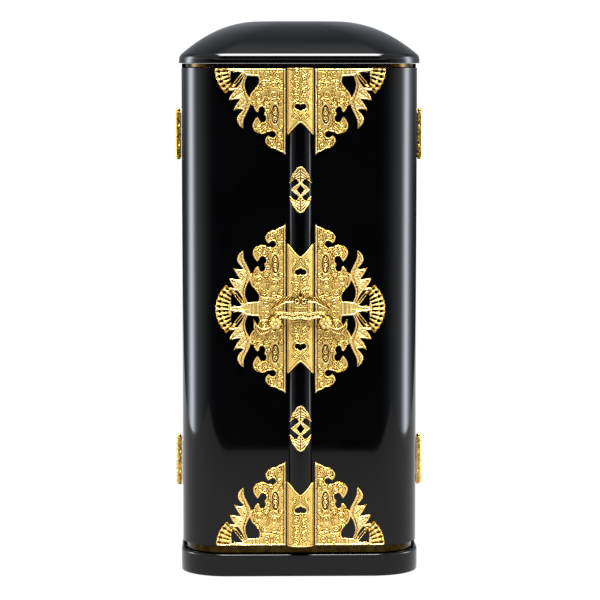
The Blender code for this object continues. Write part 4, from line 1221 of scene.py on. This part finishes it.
def leaf_outline(towards_own):
    """A leaf laid flat with its knuckles as tabs: X from its free edge, Y up."""
    curl = BARREL_MID * math.radians(KNUCKLE_TURN)
    plate_end = LEAF_WIDTH - BARREL_RADIUS - FIT
    edges = np.cumsum((0,) + KNUCKLE_SHARES) * HINGE_HEIGHT
    outline = [(0, 0)]
    if 0 not in towards_own:
        outline.append((plate_end, 0))
    for k in towards_own:
        low = edges[k] + (FIT / 2 if k else 0)
        high = edges[k + 1] - (FIT / 2 if k < len(KNUCKLE_SHARES) - 1 else 0)
        outline += [(plate_end, low), (LEAF_WIDTH + curl, low), (LEAF_WIDTH + curl, high),
                    (plate_end, high)]
    if len(KNUCKLE_SHARES) - 1 not in towards_own:
        outline.append((plate_end, HINGE_HEIGHT))
    return outline + [(0, HINGE_HEIGHT)], curl


def make_leaf(node, side, towards, barrel_low, own, body):
    """A leaf, its knuckles rolled into the barrel and its nails, towards the rear (1) or the front."""
    outline, curl = leaf_outline(own)
    shape = prism(outline, -LEAF_THICK / 2, LEAF_THICK / 2)
    bmesh.ops.triangulate(shape, faces=[face for face in shape.faces if len(face.verts) > 4])
    for k in range(KNUCKLE_STEPS):
        parts = shape.verts[:] + shape.edges[:] + shape.faces[:]
        bmesh.ops.bisect_plane(shape, geom=parts, dist=1e-5, plane_no=(1, 0, 0),
                               plane_co=(LEAF_WIDTH + curl * k / KNUCKLE_STEPS, 0, 0))
    for share in NAIL_PLACES[towards]:
        rows = [(LEAF_THICK / 2 + lift, radius) for lift, radius in NAIL_ROWS]
        stack(round_rings(rows, NAIL_SIDES, NAIL_INSET, share * HINGE_HEIGHT), shape)
    places = np.array([vertex.co for vertex in shape.verts])
    x, y, nx, ny = along([(LEAF_WIDTH, None), (curl, -BARREL_MID)], places[:, 0])
    for vertex, run, out, up, depth, across, lift in zip(shape.verts, x - LEAF_WIDTH, -y,
                                                         places[:, 1], places[:, 2], nx, ny):
        vertex.co = (side * (HINGE_X - BARREL_MID + out - lift * depth),
                     SPLIT_Y - towards * (run + across * depth), barrel_low + up)
    piece(node, "brass", mesh_of(shape), body, 40)


def make_pin(node, side, barrel_low):
    """A pin with a button below and a ball above."""
    neck, button = barrel_low + HINGE_HEIGHT + PIN_CLEARANCE, barrel_low - PIN_CLEARANCE
    rows = [(button - 0.4, 0.45), (button - 0.32, 0.62), (button - 0.25, 0.7), (button, 0.7),
            (button, PIN_RADIUS), (neck, PIN_RADIUS)]
    angles = np.radians(np.linspace(-50, 80, 12))
    rows += [(neck + BALL_RADIUS * (math.sin(a) - math.sin(angles[0])), BALL_RADIUS * math.cos(a))
             for a in angles]
    made = mesh_of(stack(round_rings(rows, PIN_SIDES, side * HINGE_X, SPLIT_Y)))
    piece(node, "brass", made, "cabinet", 40)


def make_hinges():
    for hand, side in HANDS:
        for row, height in (("upper", UPPER_HINGE_Z), ("lower", LOWER_HINGE_Z)):
            node = hand + "_" + row + "_hinge"
            make_leaf(node + "_fixed_leaf", side, 1, height, (0, 2), "cabinet")
            make_leaf(node + "_moving_leaf", side, -1, height, (1, 3), hand + "_door")
            make_pin(node + "_pin", side, height)


# The studio

def make_camera():
    data = bpy.data.cameras.new("camera")
    data.sensor_width = SENSOR
    data.lens = SENSOR * PIXELS_PER_MM * CAMERA_DISTANCE / PIXELS
    data.clip_start, data.clip_end = 0.01, 100.0
    camera = linked("camera", data)
    a, e = math.radians(CAMERA_AZIMUTH), math.radians(CAMERA_ELEVATION)
    away = Vector((math.sin(a) * math.cos(e), -math.cos(a) * math.cos(e), math.sin(e)))
    aim = Vector((-0.1, FRONT, HEIGHT / 2 + 0.2))
    camera.location = (aim + away * CAMERA_DISTANCE) * MM
    camera.rotation_mode = "QUATERNION"
    camera.rotation_quaternion = (-away).to_track_quat("-Z", "Y")
    bpy.context.scene.camera = camera


FLOOR_FRONT = 254.0         # from the doors' faces to the pale floor's front edge
FLOOR_SIDE = 330.0
FLOOR_BACK = 2500.0
FLOOR_LIGHT = 1.02
FLOOR_DIM = 0.25            # how much less it glows nearest the camera
FLOOR_FADE = (260, 70)  # where that fades out, from the doors' faces


def make_floor():
    """A pale floor that glows like the backdrop, a little less near the front."""
    near, far = FRONT - FLOOR_FRONT, FLOOR_BACK
    corners = [(-FLOOR_SIDE, near), (FLOOR_SIDE, near), (FLOOR_SIDE, far), (-FLOOR_SIDE, far)]
    data = bpy.data.meshes.new("floor")
    data.from_pydata([(x * MM, y * MM, 0) for x, y in corners], [], [(0, 1, 2, 3)])
    made, tree, shader = nodes_of("pale_floor")
    shader.inputs["Base Color"].default_value = (0, 0, 0, 1)
    shader.inputs["Specular IOR Level"].default_value = 0.0
    shader.inputs["Emission Color"].default_value = (1, 1, 1, 1)
    fade = soft_step(axes_of(tree, "Object")[1], *((FRONT - gap) * MM for gap in FLOOR_FADE))
    glow = plus(times(fade, FLOOR_DIM), FLOOR_LIGHT - FLOOR_DIM)
    tree.links.new(glow, shader.inputs["Emission Strength"])
    data.materials.append(made)
    linked("floor", data)


STRIP_TURNS = (103, 97)     # degrees from the front to each side light, left and right
STRIP_LIGHT = 12.0
STRIP_GLOW = 1.9
STRIP_FOCUS = 60.0
GLOW_FOCUS = 4.0
TOP_LIGHT = 0.9
KEY_LIGHT = 38.0
FRONT_LIGHT = 1.8
BACK_LIGHT = 0.35
BACKDROP_LIGHT = 1.05
COOL_TINT = (0.94, 1, 1.09)    # the side and rear lights' colour


def make_world():
    """A dark studio: a key light and a wide soft light above the front, a tall light each side.

    Lights are places in the directions round the object, with Y to the rear and Z up.
    """
    world = bpy.data.worlds.new("studio")
    bpy.context.scene.world = world
    world.use_nodes = True
    tree = world.node_tree
    x, y, z = axes_of(tree, "Generated")
    side = maths("ABSOLUTE", x)
    flat = maths("MAXIMUM", maths("SQRT", plus(times(x, x), times(y, y))), 0.01)
    turned = maths("DIVIDE", side, flat)
    near = 0.0
    for hand, turn in zip((-1, 1), np.radians(STRIP_TURNS)):
        towards = plus(times(x, hand * math.sin(turn)), times(y, -math.cos(turn)))
        near = maths("MAXIMUM", maths("DIVIDE", towards, flat), near)
    shade = plus(times(soft_step(y, 0.35, 0.7), -0.8), 1)
    glow = times(maths("POWER", near, GLOW_FOCUS), STRIP_GLOW, shade)
    strip = plus(times(maths("POWER", near, STRIP_FOCUS), STRIP_LIGHT), glow)
    rear = times(soft_step(y, -0.35, 0.3), soft_step(z, -0.05, 0.02), BACK_LIGHT)
    cool = plus(times(strip, band(z, -0.1, 0.3, 0.25)), rear)
    key = times(band(y, -0.52, 0.04, 0.05), soft_step(z, 0.5, 0.6), soft_step(side, 0.3, 0.14))
    low = times(band(z, 0.08, 0.2, 0.04), soft_step(y, 0, -0.1), soft_step(turned, 0.6, 0.4))
    aside = maths("MAXIMUM", soft_step(turned, 0.2, 0.5), soft_step(z, 0.75, 0.9))
    top = times(soft_step(z, 0.08, 0.18), soft_step(y, 0.4, 0.1), aside)
    warm = plus(times(top, TOP_LIGHT), times(key, KEY_LIGHT), times(low, FRONT_LIGHT))
    mixed = add(tree, "ShaderNodeCombineXYZ")
    for channel, share in zip("XYZ", COOL_TINT):
        tree.links.new(plus(times(cool, share), warm), mixed.inputs[channel])
    path = add(tree, "ShaderNodeLightPath")
    shown = add(tree, "ShaderNodeMix", data_type="RGBA")
    tree.links.new(path.outputs["Is Camera Ray"], shown.inputs["Factor"])
    tree.links.new(mixed.outputs["Vector"], shown.inputs["A"])
    shown.inputs["B"].default_value = (BACKDROP_LIGHT, BACKDROP_LIGHT, BACKDROP_LIGHT, 1)
    tree.links.new(shown.outputs["Result"], tree.nodes["Background"].inputs["Color"])


def make_looks():
    view = bpy.context.scene.view_settings
    view.view_transform = "Standard"
    view.look = "None"


make_camera()
make_floor()
make_world()
make_looks()
make_base()
make_roof()
make_boards()
make_carcass()
make_doors()
make_batten()
make_plates()
make_caps()
make_lozenges()
make_latch()
make_pulls()
make_rosettes()
make_hinges()
